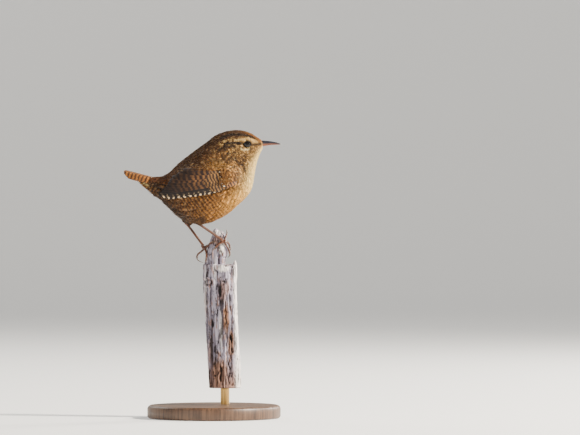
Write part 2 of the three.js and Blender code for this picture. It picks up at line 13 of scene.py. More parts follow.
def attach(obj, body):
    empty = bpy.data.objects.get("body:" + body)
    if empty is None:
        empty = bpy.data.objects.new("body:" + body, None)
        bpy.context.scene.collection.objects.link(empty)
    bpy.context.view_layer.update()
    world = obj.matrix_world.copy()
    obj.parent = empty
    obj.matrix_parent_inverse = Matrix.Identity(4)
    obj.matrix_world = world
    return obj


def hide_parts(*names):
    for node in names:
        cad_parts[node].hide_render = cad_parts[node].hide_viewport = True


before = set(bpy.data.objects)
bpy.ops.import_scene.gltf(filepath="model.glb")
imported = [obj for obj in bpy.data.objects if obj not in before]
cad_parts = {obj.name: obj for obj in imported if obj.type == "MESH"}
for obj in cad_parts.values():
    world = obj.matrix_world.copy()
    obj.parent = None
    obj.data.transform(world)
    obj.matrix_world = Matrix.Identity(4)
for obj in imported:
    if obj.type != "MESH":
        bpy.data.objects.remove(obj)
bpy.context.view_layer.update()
chance = np.random.default_rng(11)

MM = 0.001

# Corners closer together than this, in metres, are one
SAME_PLACE = 1e-6

# The photo's frame: its size, its scale, and the pixel of the stand's foot
PHOTO_SIZE = (580, 435)
MM_PER_PIXEL = 0.54
FOOT_PIXEL = (214, 418)
CAMERA_DISTANCE = 2.2
SENSOR_WIDTH = 36

# The outline of the bird in side view, as on the solids: for each station the point on the back
# (x, z), the point on the underside (x, z) and half the width there, all in millimetres.
STATIONS = np.array([
    (26.3, 149.6, 26.6, 146.5, 1.9),
    (23.3, 151.5, 25.6, 144.7, 3.7),
    (19.6, 153.8, 24.3, 141.9, 5.4),
    (14.2, 155.3, 23.2, 138.6, 7.0),
    (7.2, 154.9, 22.2, 134.4, 8.3),
    (0.9, 152.6, 21.3, 128.6, 10.0),
    (-3.9, 149.0, 19.4, 122.0, 12.4),
    (-9.7, 144.8, 13.9, 115.9, 14.6),
    (-15.9, 140.0, 4.5, 108.4, 15.4),
    (-20.2, 136.5, -6.8, 104.6, 14.4),
    (-23.4, 133.0, -17.3, 107.2, 11.4),
    (-26.2, 131.1, -25.0, 114.0, 8.0),
    (-29.6, 130.2, -30.0, 118.7, 5.6),
    (-32.8, 129.8, -34.6, 122.0, 4.1),
    (-36.0, 129.0, -38.4, 125.4, 2.4),
])
# How square each cross-section is (2 is an ellipse), and how much wider it is low down than high up
BODY_ROUND = 2.15
BODY_LOW_WIDTH = 0.08

# How deep the coat is over the skin, from the bill to the tail
COAT_DEPTH = [(0, 0.35), (0.1, 0.45), (0.3, 0.8), (0.5, 1.25), (0.85, 1.3), (1, 0.8)]

# Where the eye sits in side view and how far round it no feather has its root, and how much further
# back the left wing is folded than the right
EYE_AT = (18.3, 147.9)
EYE_CLEAR = 1.75
WING_LEFT_BACK = 3.2
SIDE_NAMES = {-1: "right", 1: "left"}


# Numbers and curves

def ramp(pairs, value):
    """Straight-line reading of a short list of (place, value) pairs."""
    places = [p[0] for p in pairs]
    if np.ndim(pairs[0][1]):
        channels = np.array([p[1] for p in pairs], float).T
        return np.stack([np.interp(value, places, c) for c in channels], axis=-1)
    return np.interp(value, places, [p[1] for p in pairs])


def soft(value, low, high):
    t = np.clip((value - low) / (high - low), 0, 1)
    return t * t * (3 - 2 * t)


def unit(vectors):
    return vectors / np.maximum(np.linalg.norm(vectors, axis=-1, keepdims=True), 1e-9)


def dot(a, b):
    return np.sum(a * b, axis=-1, keepdims=True)


def through(points, share):
    """Places on the smooth curve through some points, where share goes from 0 to 1 by their number."""
    points = np.asarray(points, float)
    share = np.asarray(share, float)
    ends = np.vstack([2 * points[0] - points[1], points, 2 * points[-1] - points[-2]])
    place = np.clip(share, 0, 1) * (len(points) - 1)
    i = np.minimum(place.astype(int), len(points) - 2)
    t = (place - i)[..., None]
    p0, p1, p2, p3 = (ends[i + k] for k in range(4))
    gaps = [np.maximum(np.linalg.norm(b - a, axis=-1, keepdims=True), 1e-6) ** 0.5
            for a, b in ((p0, p1), (p1, p2), (p2, p3))]
    slope1 = ((p1 - p0) / gaps[0] - (p2 - p0) / (gaps[0] + gaps[1]) + (p2 - p1) / gaps[1]) * gaps[1]
    slope2 = ((p2 - p1) / gaps[1] - (p3 - p1) / (gaps[1] + gaps[2]) + (p3 - p2) / gaps[2]) * gaps[1]
    return ((2 * t**3 - 3 * t**2 + 1) * p1 + (t**3 - 2 * t**2 + t) * slope1
            + (3 * t**2 - 2 * t**3) * p2 + (t**3 - t**2) * slope2)


def linear(red, green, blue):
    """A colour as the eye names it, 0 to 255, as a linear one."""
    c = np.array([red, green, blue], float) / 255
    return np.where(c <= 0.04045, c / 12.92, ((c + 0.055) / 1.055) ** 2.4)


# Faces that feathers lie on

class Face:
    """A smooth face held as a grid of places in millimetres. u runs down its rows, v along them."""

    def __init__(self, places, closed, outward):
        self.places = places
        self.closed = closed
        rows, columns = places.shape[:2]
        self.rows, self.columns = rows, columns
        by_u = np.gradient(places, axis=0) * (rows - 1)
        if closed:
            ahead = np.roll(places[:, :-1], -1, axis=1)
            behind = np.roll(places[:, :-1], 1, axis=1)
            by_v = (ahead - behind) / 2 * (columns - 1)
            by_v = np.concatenate([by_v, by_v[:, :1]], axis=1)
        else:
            by_v = np.gradient(places, axis=1) * (columns - 1)
        self.by_u, self.by_v = by_u, by_v
        self.normals = unit(np.cross(by_u, by_v)) * outward

        steps = np.linalg.norm(np.diff(places, axis=0), axis=-1)
        self.passed = np.concatenate([np.zeros((1, columns)), np.cumsum(steps, axis=0)])[..., None]

    def read(self, table, u, v):
        if self.closed:
            v = np.mod(v, 1)
        a = np.clip(u, 0, 1) * (self.rows - 1)
        b = np.clip(v, 0, 1) * (self.columns - 1)
        i = np.minimum(a.astype(int), self.rows - 2)
        j = np.minimum(b.astype(int), self.columns - 2)
        s, t = (a - i)[..., None], (b - j)[..., None]
        return ((table[i, j] * (1 - s) + table[i + 1, j] * s) * (1 - t)
                + (table[i, j + 1] * (1 - s) + table[i + 1, j + 1] * s) * t)

    def at(self, u, v):
        """Place and outward normal. Past the last row the face runs straight on."""
        place = self.read(self.places, u, v)
        over = np.maximum(u - 1, 0)[..., None]
        return place + self.read(self.by_u, u, v) * over, unit(self.read(self.normals, u, v))


def body_face(rows=260, columns=193):
    u = np.linspace(0, 1, rows)[:, None] * np.ones((1, columns))
    angle = np.linspace(0, 2 * math.pi, columns)[None, :] * np.ones((rows, 1))
    tops = through(STATIONS[:, [0, 4, 1]], u)
    lows = through(np.column_stack([STATIONS[:, 2], STATIONS[:, 4], STATIONS[:, 3]]), u)
    half = tops[..., 1:2].copy()
    tops[..., 1] = lows[..., 1] = 0
    rise = np.sign(np.cos(angle)) * np.abs(np.cos(angle)) ** (2 / BODY_ROUND)
    out = np.sign(np.sin(angle)) * np.abs(np.sin(angle)) ** (2 / BODY_ROUND)
    places = (tops + lows) / 2 + (tops - lows) / 2 * rise[..., None]
    places[..., 1:2] += half * (out * (1 - BODY_LOW_WIDTH * rise))[..., None]
    return Face(places, closed=True, outward=-1)


def tree_of(*nodes):
    """One search tree over some of the solids, in millimetres."""
    corners, faces = [], []
    for name in nodes:
        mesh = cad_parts[name].data
        start = len(corners)
        corners += [v.co / MM for v in mesh.vertices]
        faces += [[start + i for i in p.vertices] for p in mesh.polygons]
    return BVHTree.FromPolygons(corners, faces)


# The wing's side of the bird: how far out the base of the feathers lies, seen from the side
SIDE_X = (-40.0, 18.0)
SIDE_Z = (108.0, 146.0)
SIDE_STEP = 0.5
SIDE_REACH = 40.0
WING_COVER = 2.0
WING_SMOOTH = 5
OUTER_SMOOTH = 16


def side_face(side, cover, passes):
    """The side of the bird as one face, from the solids of the wing, less its cover, and the body."""
    xs = np.arange(SIDE_X[0], SIDE_X[1] + SIDE_STEP, SIDE_STEP)
    zs = np.arange(SIDE_Z[0], SIDE_Z[1] + SIDE_STEP, SIDE_STEP)
    wing = tree_of(f"wing_{SIDE_NAMES[side]}")
    body = tree_of("neck", "torso", "head")
    out = np.zeros((len(xs), len(zs)))
    seen = np.zeros_like(out)
    on_wing = np.zeros_like(out)
    for i, x in enumerate(xs):
        for j, z in enumerate(zs):
            start = Vector((x, side * SIDE_REACH, z))
            way = Vector((0, -side, 0))
            flesh = body.ray_cast(start, way, SIDE_REACH)[0]
            vane = wing.ray_cast(start, way, SIDE_REACH)[0]
            reach = [abs(flesh.y)] if flesh else []
            if vane:
                reach.append(abs(vane.y) - cover)
                on_wing[i, j] = 1
            if reach:
                out[i, j] = max(reach)
                seen[i, j] = 1
    kept = out * seen
    weight = seen.copy()
    for _ in range(passes):
        kept, weight = blurred(kept), blurred(weight)
    filled = kept / np.maximum(weight, 1e-6)
    filled = np.where(weight > 1e-3, filled, 0)
    places = np.stack([xs[:, None] + 0 * filled, side * filled, zs[None, :] + 0 * filled], axis=-1)
    return Face(places, closed=False, outward=-side), on_wing


def blurred(grid):
    padded = np.pad(grid, 1, mode="edge")
    rows = (padded[:-2] + 2 * padded[1:-1] + padded[2:]) / 4
    return (rows[:, :-2] + 2 * rows[:, 1:-1] + rows[:, 2:]) / 4


# Meshes

LAYER_KINDS = {1: ("FLOAT", "value"), 3: ("FLOAT_VECTOR", "vector"), 4: ("FLOAT_COLOR", "color")}


def mesh_piece(name, places, faces, layers=None, bake=None):
    """A piece from places in millimetres, faces as lists of corners, and named values for each place."""
    starts = np.concatenate([[0], np.cumsum([len(f) for f in faces])[:-1]])
    return mesh_from(name, places, np.concatenate(faces), starts, layers or {}, bake)


def mesh_from(name, places, corners, starts, layers, bake):
    """The same from one row of corners and each face's start in it. Bake is by place or by corner."""
    mesh = bpy.data.meshes.new(name)
    mesh.vertices.add(len(places))
    mesh.vertices.foreach_set("co", (np.asarray(places) * MM).astype(np.float32).ravel())
    mesh.loops.add(len(corners))
    mesh.loops.foreach_set("vertex_index", corners.astype(np.int32))
    mesh.polygons.add(len(starts))
    mesh.polygons.foreach_set("loop_start", starts.astype(np.int32))
    for key, values in layers.items():
        values = np.asarray(values, np.float32)
        kind, field = LAYER_KINDS[1 if values.ndim == 1 else values.shape[1]]
        mesh.attributes.new(key, kind, "POINT").data.foreach_set(field, values.ravel())
    if bake is not None:
        by_corner = bake if len(bake) != len(places) else bake[corners]
        mesh.uv_layers.new(name="OFBake").data.foreach_set("uv", by_corner.astype(np.float32).ravel())
    mesh.update(calc_edges=True)
    mesh.validate()
    mesh.shade_smooth()
    return placed(name, mesh)


def placed(name, data):
    made = bpy.data.objects.new(name, data)
    bpy.context.scene.collection.objects.link(made)
    return made


def smooth_piece(name, bm):
    mesh = bpy.data.meshes.new(name)
    bm.to_mesh(mesh)
    bm.free()
    mesh.shade_smooth()
    return placed(name, mesh)


def finish_piece(piece, material, slot, *nodes):
    piece.data.materials.clear()
    piece.data.materials.append(material)
    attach(piece, "root")
    if nodes:
        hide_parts(*nodes)
    return piece


def tube(sides, steps, cap_ends=True):
    """A tube of radius 1 and height 1, with its wall parted into steps from end to end."""
    bm = bmesh.new()
    bmesh.ops.create_cone(bm, cap_ends=cap_ends, segments=sides, radius1=1, radius2=1, depth=1)
    upright = [e for e in bm.edges if abs(e.verts[0].co.z - e.verts[1].co.z) > 0.5]
    bmesh.ops.subdivide_edges(bm, edges=upright, cuts=steps - 1, use_grid_fill=True)
    bmesh.ops.recalc_face_normals(bm, faces=bm.faces)
    return bm


class Form:
    """One closed feather in numbers: across from -1 to 1, along from 0 to 1, height from -1 to 1."""

    def __init__(self, sides, steps, crowd=1.5):
        bm = tube(sides, steps)
        bm.verts.index_update()
        co = np.array([v.co for v in bm.verts])
        self.across = co[:, 0]
        self.height = co[:, 1]
        self.along = 1 - (1 - np.clip(co[:, 2] + 0.5, 0, 1)) ** crowd
        self.faces = [[v.index for v in f.verts] for f in bm.faces]
        self.sizes = np.array([len(f) for f in self.faces])
        self.corners = np.concatenate([np.array(f) for f in self.faces])
        self.count = len(co)
        bm.free()

    def joined(self, many):
        """Corners and face starts of many copies of the form."""
        corners = (self.corners[None, :] + np.arange(many)[:, None] * self.count).ravel()
        starts = np.concatenate([[0], np.cumsum(np.tile(self.sizes, many))[:-1]])
        return corners, starts


def outline(along, root, wide_at, round_from, tip):
    """A feather's width along its length, as a share of its greatest width."""
    body = root + (1 - root) * soft(along, 0, wide_at)
    end = np.clip((along - round_from) / (1 - round_from), 0, 1)
    return body * (tip + (1 - tip) * np.sqrt(np.maximum(0, 1 - end**2)))


# Markings of the plumage, shared by the skin and the coat

FOREHEAD = linear(176, 118, 62)
CROWN = linear(112, 74, 42)
MANTLE = linear(122, 82, 48)
LOWER_BACK = linear(132, 84, 44)
RUMP = linear(158, 96, 46)
CHEEK = linear(190, 142, 80)
NECK_SIDE = linear(186, 132, 66)
SHOULDER = linear(186, 128, 62)
FLANK = linear(150, 100, 50)
REAR_FLANK = linear(112, 74, 40)
CHIN = linear(248, 218, 164)
THROAT = linear(252, 218, 158)
BREAST = linear(240, 182, 102)
BELLY = linear(190, 134, 70)
REAR_BELLY = linear(98, 66, 38)
VENT = linear(150, 104, 58)
UNDERTAIL = linear(206, 160, 108)
DARK_SPOT = linear(34, 22, 14)
PALE_BROW = linear(232, 192, 134)
PALE_LID = linear(240, 212, 166)
DARK_STRIPE = linear(44, 29, 19)
PALE_SHOULDER = linear(222, 184, 134)

# Colours from bill to tail, on the back, the side and the underside
BACK_TONES = [(0, FOREHEAD), (0.1, FOREHEAD), (0.22, CROWN), (0.4, CROWN), (0.55, MANTLE),
              (0.7, LOWER_BACK), (0.85, RUMP), (1, RUMP)]
SIDE_TONES = [(0, CHEEK), (0.25, CHEEK), (0.36, NECK_SIDE), (0.5, SHOULDER), (0.66, FLANK),
              (0.8, REAR_FLANK), (0.92, VENT), (1, RUMP)]
UNDER_TONES = [(0, CHIN), (0.15, THROAT), (0.35, THROAT), (0.46, BREAST), (0.56, BELLY),
               (0.66, REAR_BELLY), (0.78, REAR_BELLY), (0.88, VENT), (0.95, UNDERTAIL), (1, UNDERTAIL)]

# How strongly dark bars cross the feathers there
BACK_BARS = [(0, 0.0), (0.25, 0.2), (0.45, 0.5), (0.7, 0.6), (0.9, 0.6), (1, 0.5)]
SIDE_BARS = [(0, 0.0), (0.35, 0.2), (0.46, 0.5), (0.56, 0.95), (0.85, 1.0), (1, 0.7)]
UNDER_BARS = [(0, 0.0), (0.42, 0.0), (0.5, 0.3), (0.58, 0.8), (0.7, 1.0), (0.88, 1.0), (1, 0.7)]

# Strokes painted on each side of the head and shoulder: points in side view, half width, edge
# softness, colour and strength. A gap breaks a stroke into spots that far apart.
STROKES = [
    ([(23.2, 149.9), (21.4, 151.3), (18.4, 152.4), (12.9, 153.4), (6.0, 152.4)],
     0.4, 0.4, DARK_STRIPE, 0.9, 0),
    ([(23.8, 149.0), (21.6, 150.0), (19.4, 150.7), (16.7, 150.6), (13.2, 150.2)],
     0.45, 0.35, PALE_BROW, 1.0, 0),
    ([(13.4, 150.1), (10.4, 151.0), (7.4, 150.6), (4.0, 149.4)], 0.4, 0.3, PALE_BROW, 0.95, 2.9),
    ([(12.0, 149.0), (8.6, 149.0), (5.2, 148.0), (2.4, 146.4)], 0.3, 0.3, PALE_BROW, 0.8, 2.4),
    ([(16.9, 148.3), (14.6, 148.9), (11.6, 149.4), (8.2, 149.3)], 0.45, 0.35, DARK_STRIPE, 1.0, 0),
    ([(12.6, 147.6), (8.4, 147.6), (4.6, 146.6)], 0.6, 0.5, DARK_STRIPE, 0.85, 0),
    ([(25.6, 147.9), (22.8, 147.7), (20.8, 147.9)], 0.4, 0.4, DARK_STRIPE, 0.8, 0),
    ([(15.9, 146.6), (17.0, 145.7), (18.6, 145.3), (20.3, 146.0)], 0.35, 0.25, PALE_LID, 1.0, 0),
    ([(8.3, 145.6), (11.2, 143.1), (13.8, 140.4), (16.8, 137.9), (18.6, 135.0)],
     0.45, 0.4, DARK_SPOT, 0.95, 1.3),
    ([(3.0, 147.0), (6.5, 143.5), (9.5, 139.8), (11.5, 136.0)], 0.4, 0.4, DARK_SPOT, 0.7, 1.5),
    ([(12.0, 138.5), (13.4, 135.6), (13.8, 132.2), (12.8, 129.0)], 0.6, 0.8, DARK_SPOT, 0.5, 1.6),
    ([(14.6, 144.6), (16.4, 142.4), (18.4, 140.6)], 0.3, 0.35, DARK_SPOT, 0.7, 1.1),
    ([(15.2, 147.4), (12.8, 146.4), (10.2, 144.4), (7.6, 141.8)], 0.2, 0.3, PALE_BROW, 0.75, 1.5),
    ([(16.2, 145.6), (13.8, 143.8), (11.4, 141.4)], 0.2, 0.3, PALE_BROW, 0.65, 1.3),
    ([(15.8, 146.4), (13.4, 145.0), (10.8, 142.8)], 0.2, 0.3, DARK_SPOT, 0.8, 1.2),
    ([(8.0, 139.3), (5.4, 139.9), (3.0, 139.7)], 0.3, 0.6, PALE_SHOULDER, 0.6, 0),
    ([(12.0, 136.0), (8.0, 136.6), (3.0, 137.0)], 1.3, 1.2, BREAST, 0.45, 0),
    ([(-31.5, 124.0), (-33.5, 123.5)], 0.6, 0.5, CHIN, 0.9, 0),
    ([(-27.0, 118.5), (-31.5, 121.5)], 0.4, 0.5, UNDERTAIL, 0.8, 1.5),
]
HEAD_MOTTLE = [(0, 0.5), (0.1, 1.0), (0.3, 1.1), (0.42, 0.75), (0.55, 0.35), (1, 0.4)]

# How far round the body, from 0 on the back to 1 below, the side and the underside begin
SIDE_BEGINS = (0.12, 0.42)
UNDER_BEGINS = (0.6, 0.9)
PALE_BEGINS = (0.67, 0.96)

# The tones above are deepened by a power and tinted a little, to read right in the studio's light
TONE_POWER = 1.26
TONE_TINT = np.array([0.8, 0.88, 0.8])


def nearest_on(points, x, z):
    """Distance from a line of points in side view, and the way along it, in millimetres."""
    points = through([(px, 0, pz) for px, pz in points], np.linspace(0, 1, 24))
    best = np.full(x.shape, 1e9)
    way = np.zeros(x.shape)
    passed = 0.0
    for a, b in zip(points[:-1], points[1:]):
        step = np.array([b[0] - a[0], b[2] - a[2]])
        size = np.hypot(*step)
        t = np.clip(((x - a[0]) * step[0] + (z - a[2]) * step[1]) / size**2, 0, 1)
        away = np.hypot(x - a[0] - t * step[0], z - a[2] - t * step[1])
        closer = away < best
        best = np.where(closer, away, best)
        way = np.where(closer, passed + t * size, way)
        passed += size
    return best, way


def lowness(v):
    """How low round the body a place is: 0 on the back, 1 on the underside."""
    return (1 - np.cos(2 * np.pi * v)) / 2


def blended(tables, u, to_side, to_under):
    """Tables of the back, the side and the underside, read at u and blended round the body."""
    back, side, under = (ramp(table, u) for table in tables)
    if back.ndim > to_side.ndim:
        to_side, to_under = to_side[..., None], to_under[..., None]
    result = back * (1 - to_side) + side * to_side
    return result * (1 - to_under) + under * to_under


def markings(places, u, v):
    """Ground colour, bar strength and mottle strength at places on the bird."""
    low = lowness(v)
    to_side, to_under = soft(low, *SIDE_BEGINS), soft(low, *PALE_BEGINS)
    ground = blended((BACK_TONES, SIDE_TONES, UNDER_TONES), u, to_side, to_under)
    barring = blended((BACK_BARS, SIDE_BARS, UNDER_BARS), u, to_side, to_under)
    mottle = ramp(HEAD_MOTTLE, u) * (0.35 + 0.65 * to_side) * (1 - 0.8 * to_under)
    x, z = places[..., 0], places[..., 2]
    for points, half, edge, colour, strength, gap in STROKES:
        away, way = nearest_on(points, x, z)
        mask = (1 - soft(away, half, half + edge)) * strength
        if gap:
            mask = mask * soft(np.cos(2 * np.pi * way / gap), -0.6, 0.4)
        ground = ground * (1 - mask[..., None]) + colour * mask[..., None]
        mottle = mottle * (1 - 0.85 * mask)
    return TONE_TINT * ground**TONE_POWER, barring, mottle


# Materials

def put(tree, kind, sockets=(), **settings):
    """Adds a shader node. Each socket is given a number, a colour or another node's output."""
    made = tree.nodes.new("ShaderNode" + kind)
    for key, value in settings.items():
        setattr(made, key, value)
    for key, value in dict(sockets).items():
        if isinstance(value, bpy.types.NodeSocket):
            tree.links.new(value, made.inputs[key])
        else:
            made.inputs[key].default_value = value
    return made


def sums(tree, how, a, b=0.0):
    return put(tree, "Math", {0: a, 1: b}, operation=how).outputs[0]


def times(tree, a, b):
    return sums(tree, "MULTIPLY", a, b)


def plus(tree, a, b):
    return sums(tree, "ADD", a, b)


def mapped(tree, value, low, high, to_low=0.0, to_high=1.0):
    return put(tree, "MapRange", {0: value, 1: low, 2: high, 3: to_low, 4: to_high},
               interpolation_type="SMOOTHSTEP").outputs[0]


def mixed(tree, share, a, b, how="MIX"):
    return put(tree, "Mix", {0: share, 6: a, 7: b}, data_type="RGBA", blend_type=how).outputs[2]


def cloud_in(tree, place, scale, detail):
    return put(tree, "TexNoise", {"Vector": place, "Scale": scale, "Detail": detail}).outputs[0]


def object_place(tree):
    return put(tree, "TexCoord").outputs["Object"]


def value_of(tree, name, kind="Fac"):
    """A value that the mesh carries at each place."""
    return put(tree, "Attribute", attribute_name=name).outputs[kind]


def parts_of(tree, name):
    """The three numbers of a vector that the mesh carries."""
    return put(tree, "SeparateXYZ", {0: value_of(tree, name, "Vector")}).outputs


def bumped(tree, shader, height, strength, relief):
    bump = put(tree, "Bump", {"Height": height, "Strength": strength, "Distance": relief})
    tree.links.new(bump.outputs[0], shader.inputs["Normal"])


def colour4(values):
    return (*[float(c) for c in values[:3]], 1.0)


def group(name, inputs, outputs):
    """An empty node group of named numbers: its tree, what goes in, and its end node."""
    tree = bpy.data.node_groups.new(name, "ShaderNodeTree")
    for label, value in inputs.items():
        made = tree.interface.new_socket(label, in_out="INPUT", socket_type="NodeSocketFloat")
        made.default_value = value
    for label in outputs:
        tree.interface.new_socket(label, in_out="OUTPUT", socket_type="NodeSocketFloat")
    return tree, tree.nodes.new("NodeGroupInput").outputs, tree.nodes.new("NodeGroupOutput").inputs


def use(tree, which, **sockets):
    """Places a group, with its inputs named in lower case and an underscore for each space."""
    given = {key.replace("_", " ").title(): value for key, value in sockets.items()}
    return put(tree, "Group", given, node_tree=which).outputs


def feather_lines():
    """Shaft and slanting barbs of a feather: a bump height, and how light or dark each barb is."""
    tree, given, end = group("feather_lines", {"Barb Width": 0.3}, ("Height", "Tone", "Shaft"))
    across, _, luck = parts_of(tree, "feather")
    across = sums(tree, "ABSOLUTE", across)
    run = sums(tree, "SUBTRACT", parts_of(tree, "lie")[0], times(tree, across, 0.9))
    wave = sums(tree, "DIVIDE", run, given["Barb Width"])
    grain = cloud_in(tree, put(tree, "CombineXYZ", {0: wave, 1: luck, 2: 0.0}).outputs[0], 1.0, 2.0)
    ripple = sums(tree, "SINE", times(tree, wave, 2 * math.pi))
    shaft = mapped(tree, across, 0.12, 0.02)
    height = plus(tree, times(tree, ripple, 0.25), shaft)
    tree.links.new(plus(tree, height, grain), end["Height"])
    tree.links.new(mapped(tree, grain, 0.3, 0.7), end["Tone"])
    tree.links.new(shaft, end["Shaft"])
    return tree


def feather_bars():
    """Dark bars across a feather, wavering as they cross: 1 on a bar."""
    tree, given, end = group(
        "feather_bars", {"Along": 0.0, "Period": 1.8, "Waver": 0.8, "Bias": 0.0, "Edge": 0.3}, ("Bar",))
    wander = cloud_in(tree, object_place(tree), 260.0, 1.0)
    shift = times(tree, sums(tree, "SUBTRACT", wander, 0.5), given["Waver"])
    turns = sums(tree, "DIVIDE", plus(tree, given["Along"], shift), given["Period"])
    wave = plus(tree, sums(tree, "SINE", times(tree, turns, 2 * math.pi)), given["Bias"])
    bar = mapped(tree, wave, times(tree, given["Edge"], -1.0), given["Edge"])
    tree.links.new(bar, end["Bar"])
    return tree


LINES = feather_lines()
BARS = feather_bars()


def blank(name):
    """A new material, with its tree and its Principled shader."""
    made = bpy.data.materials.new(name)
    made.use_nodes = True
    return made, made.node_tree, made.node_tree.nodes["Principled BSDF"]


def feather_finish(tree, shader, colour, value, lines, roughness, sheen, strength, relief):
    """A feather's colour, lit or dulled by a value, its shine, and its barbs as bumps."""
    grey = put(tree, "CombineXYZ", {0: value, 1: value, 2: value}).outputs[0]
    tree.links.new(mixed(tree, 1.0, colour, grey, "MULTIPLY"), shader.inputs["Base Color"])
    shader.inputs["Roughness"].default_value = roughness
    shader.inputs["Specular IOR Level"].default_value = 0.25
    shader.inputs["Sheen Weight"].default_value = sheen
    bumped(tree, shader, lines["Height"], strength, relief)


FLECK_LIGHT = (0.66, 0.42, 0.18, 1)
FLECK_DARK = (0.03, 0.018, 0.011, 1)
BAR_SHADE = (0.26, 0.22, 0.2, 1)


def plumage_material(name="body_feathers", coat=True):
    """Small body feathers, or the skin under them: the same markings on both, with painted shade darkening
    each feather towards its root and the whole skin under the coat.
    """
    made, tree, shader = blank(name)
    ground = value_of(tree, "ground", "Color")
    _, along, luck = parts_of(tree, "feather")
    jog = times(tree, luck, 0.2)
    bars = use(tree, BARS, along=plus(tree, parts_of(tree, "lie")[1], jog), period=1.9, waver=1.3,
               bias=0.1, edge=0.4)[0]
    barred = times(tree, bars, value_of(tree, "barring"))
    colour = mixed(tree, barred, ground, mixed(tree, 1.0, ground, BAR_SHADE, "MULTIPLY"))
    fleck = cloud_in(tree, object_place(tree), 620.0, 2.0)
    mottle = value_of(tree, "mottle")
    rim = mapped(tree, plus(tree, along, times(tree, fleck, 0.5)), 1.02, 1.14)
    deep = sums(tree, "MAXIMUM", mapped(tree, fleck, 0.53, 0.6), rim)
    light = times(tree, mapped(tree, fleck, 0.46, 0.38), mottle)
    colour = mixed(tree, times(tree, light, 0.45), colour, FLECK_LIGHT)
    colour = mixed(tree, times(tree, times(tree, deep, mottle), 0.8), colour, FLECK_DARK)
    tone = mapped(tree, luck, 0.0, 1.0, 0.82, 1.18)
    # painted shade: each feather darker towards its root, and the skin under the coat darkened to 0.4 all
    # over
    root = mapped(tree, along, 0.1, 0.75, 0.5, 1.05) if coat else 0.4
    lines = use(tree, LINES, barb_width=0.2)
    streak = mapped(tree, lines["Tone"], 0.0, 1.0, 0.86, 1.12)
    value = times(tree, times(tree, tone, root), streak)
    feather_finish(tree, shader, colour, value, lines, 0.75, 0.06, 0.35, 0.00006)
    return made


def flight_material(name, light, dark, period, slant, bias, edge, jitter=0.4, waver=0.55, dotted=False,
                    tip=None):
    """Flight or tail feathers: a light ground, dark bars across it and a dark shaft.

    Dotted feathers are light only near their outer edge. A tip is the colour of a spot at the end."""
    made, tree, shader = blank(name)
    across, along, luck = parts_of(tree, "feather")
    _, off, run = parts_of(tree, "lie")
    run = plus(tree, run, times(tree, off, slant))
    run = plus(tree, run, times(tree, luck, period * jitter))
    bars = use(tree, BARS, along=run, period=period, waver=period * waver, bias=bias, edge=edge)[0]
    if dotted:
        inner, rim = mapped(tree, across, 0.46, 0.26), mapped(tree, across, 0.84, 0.96)
        bars = sums(tree, "MAXIMUM", bars, sums(tree, "MAXIMUM", inner, rim))
    cloud = cloud_in(tree, object_place(tree), 260.0, 3.0)
    ground = mixed(tree, mapped(tree, cloud, 0.35, 0.7), colour4(light * 0.72), colour4(light * 1.2))
    faded = mapped(tree, value_of(tree, "mottle"), 0.0, 1.0)
    ground = mixed(tree, faded, ground, colour4(dark))
    colour = mixed(tree, bars, ground, colour4(dark))
    if tip is not None:
        spot = times(tree, mapped(tree, along, 0.84, 0.9), mapped(tree, luck, 0.5, 0.55))
        middle = mapped(tree, sums(tree, "ABSOLUTE", across), 0.42, 0.24)
        colour = mixed(tree, times(tree, spot, middle), colour, colour4(tip))
    lines = use(tree, LINES, barb_width=0.34)
    colour = mixed(tree, times(tree, lines["Shaft"], 0.6), colour, colour4(dark * 0.9 + 0.01))
    streak = mapped(tree, lines["Tone"], 0.0, 1.0, 0.8, 1.15)
    value = times(tree, mapped(tree, luck, 0.0, 1.0, 0.85, 1.12), streak)
    feather_finish(tree, shader, colour, value, lines, 0.65, 0.03, 0.4, 0.00008)
    return made


def wood_grain():
    """Weathered grain that runs up the wood: how pale it is, its dark lines, and a height for bumps."""
    tree, given, end = group("wood_grain", {"Fineness": 900.0, "Stretch": 0.07}, ("Tone", "Line", "Height"))
    size = put(tree, "CombineXYZ", {0: 1.0, 1: 1.0, 2: given["Stretch"]}).outputs[0]
    up = put(tree, "VectorMath", {0: object_place(tree), 1: size}, operation="MULTIPLY").outputs[0]
    fine = cloud_in(tree, up, given["Fineness"], 5.0)
    wide = cloud_in(tree, up, 330.0, 3.0)
    line = mapped(tree, fine, 0.43, 0.37)
    both = plus(tree, times(tree, fine, 0.5), times(tree, wide, 0.5))
    tree.links.new(mapped(tree, both, 0.4, 0.6), end["Tone"])
    tree.links.new(line, end["Line"])
    tree.links.new(sums(tree, "SUBTRACT", fine, times(tree, line, 0.6)), end["Height"])
    return tree


GRAIN = wood_grain()
BARE_PALE = linear(150, 100, 58)
BARE_DARK = linear(74, 44, 26)
# The pale of bleached wood, used as well for painted light on the stake's lit right edge
BLEACH_AND_LIGHT = linear(226, 218, 212)
SHINE = {"coat": "Coat Weight", "specular": "Specular IOR Level", "metal": "Metallic"}


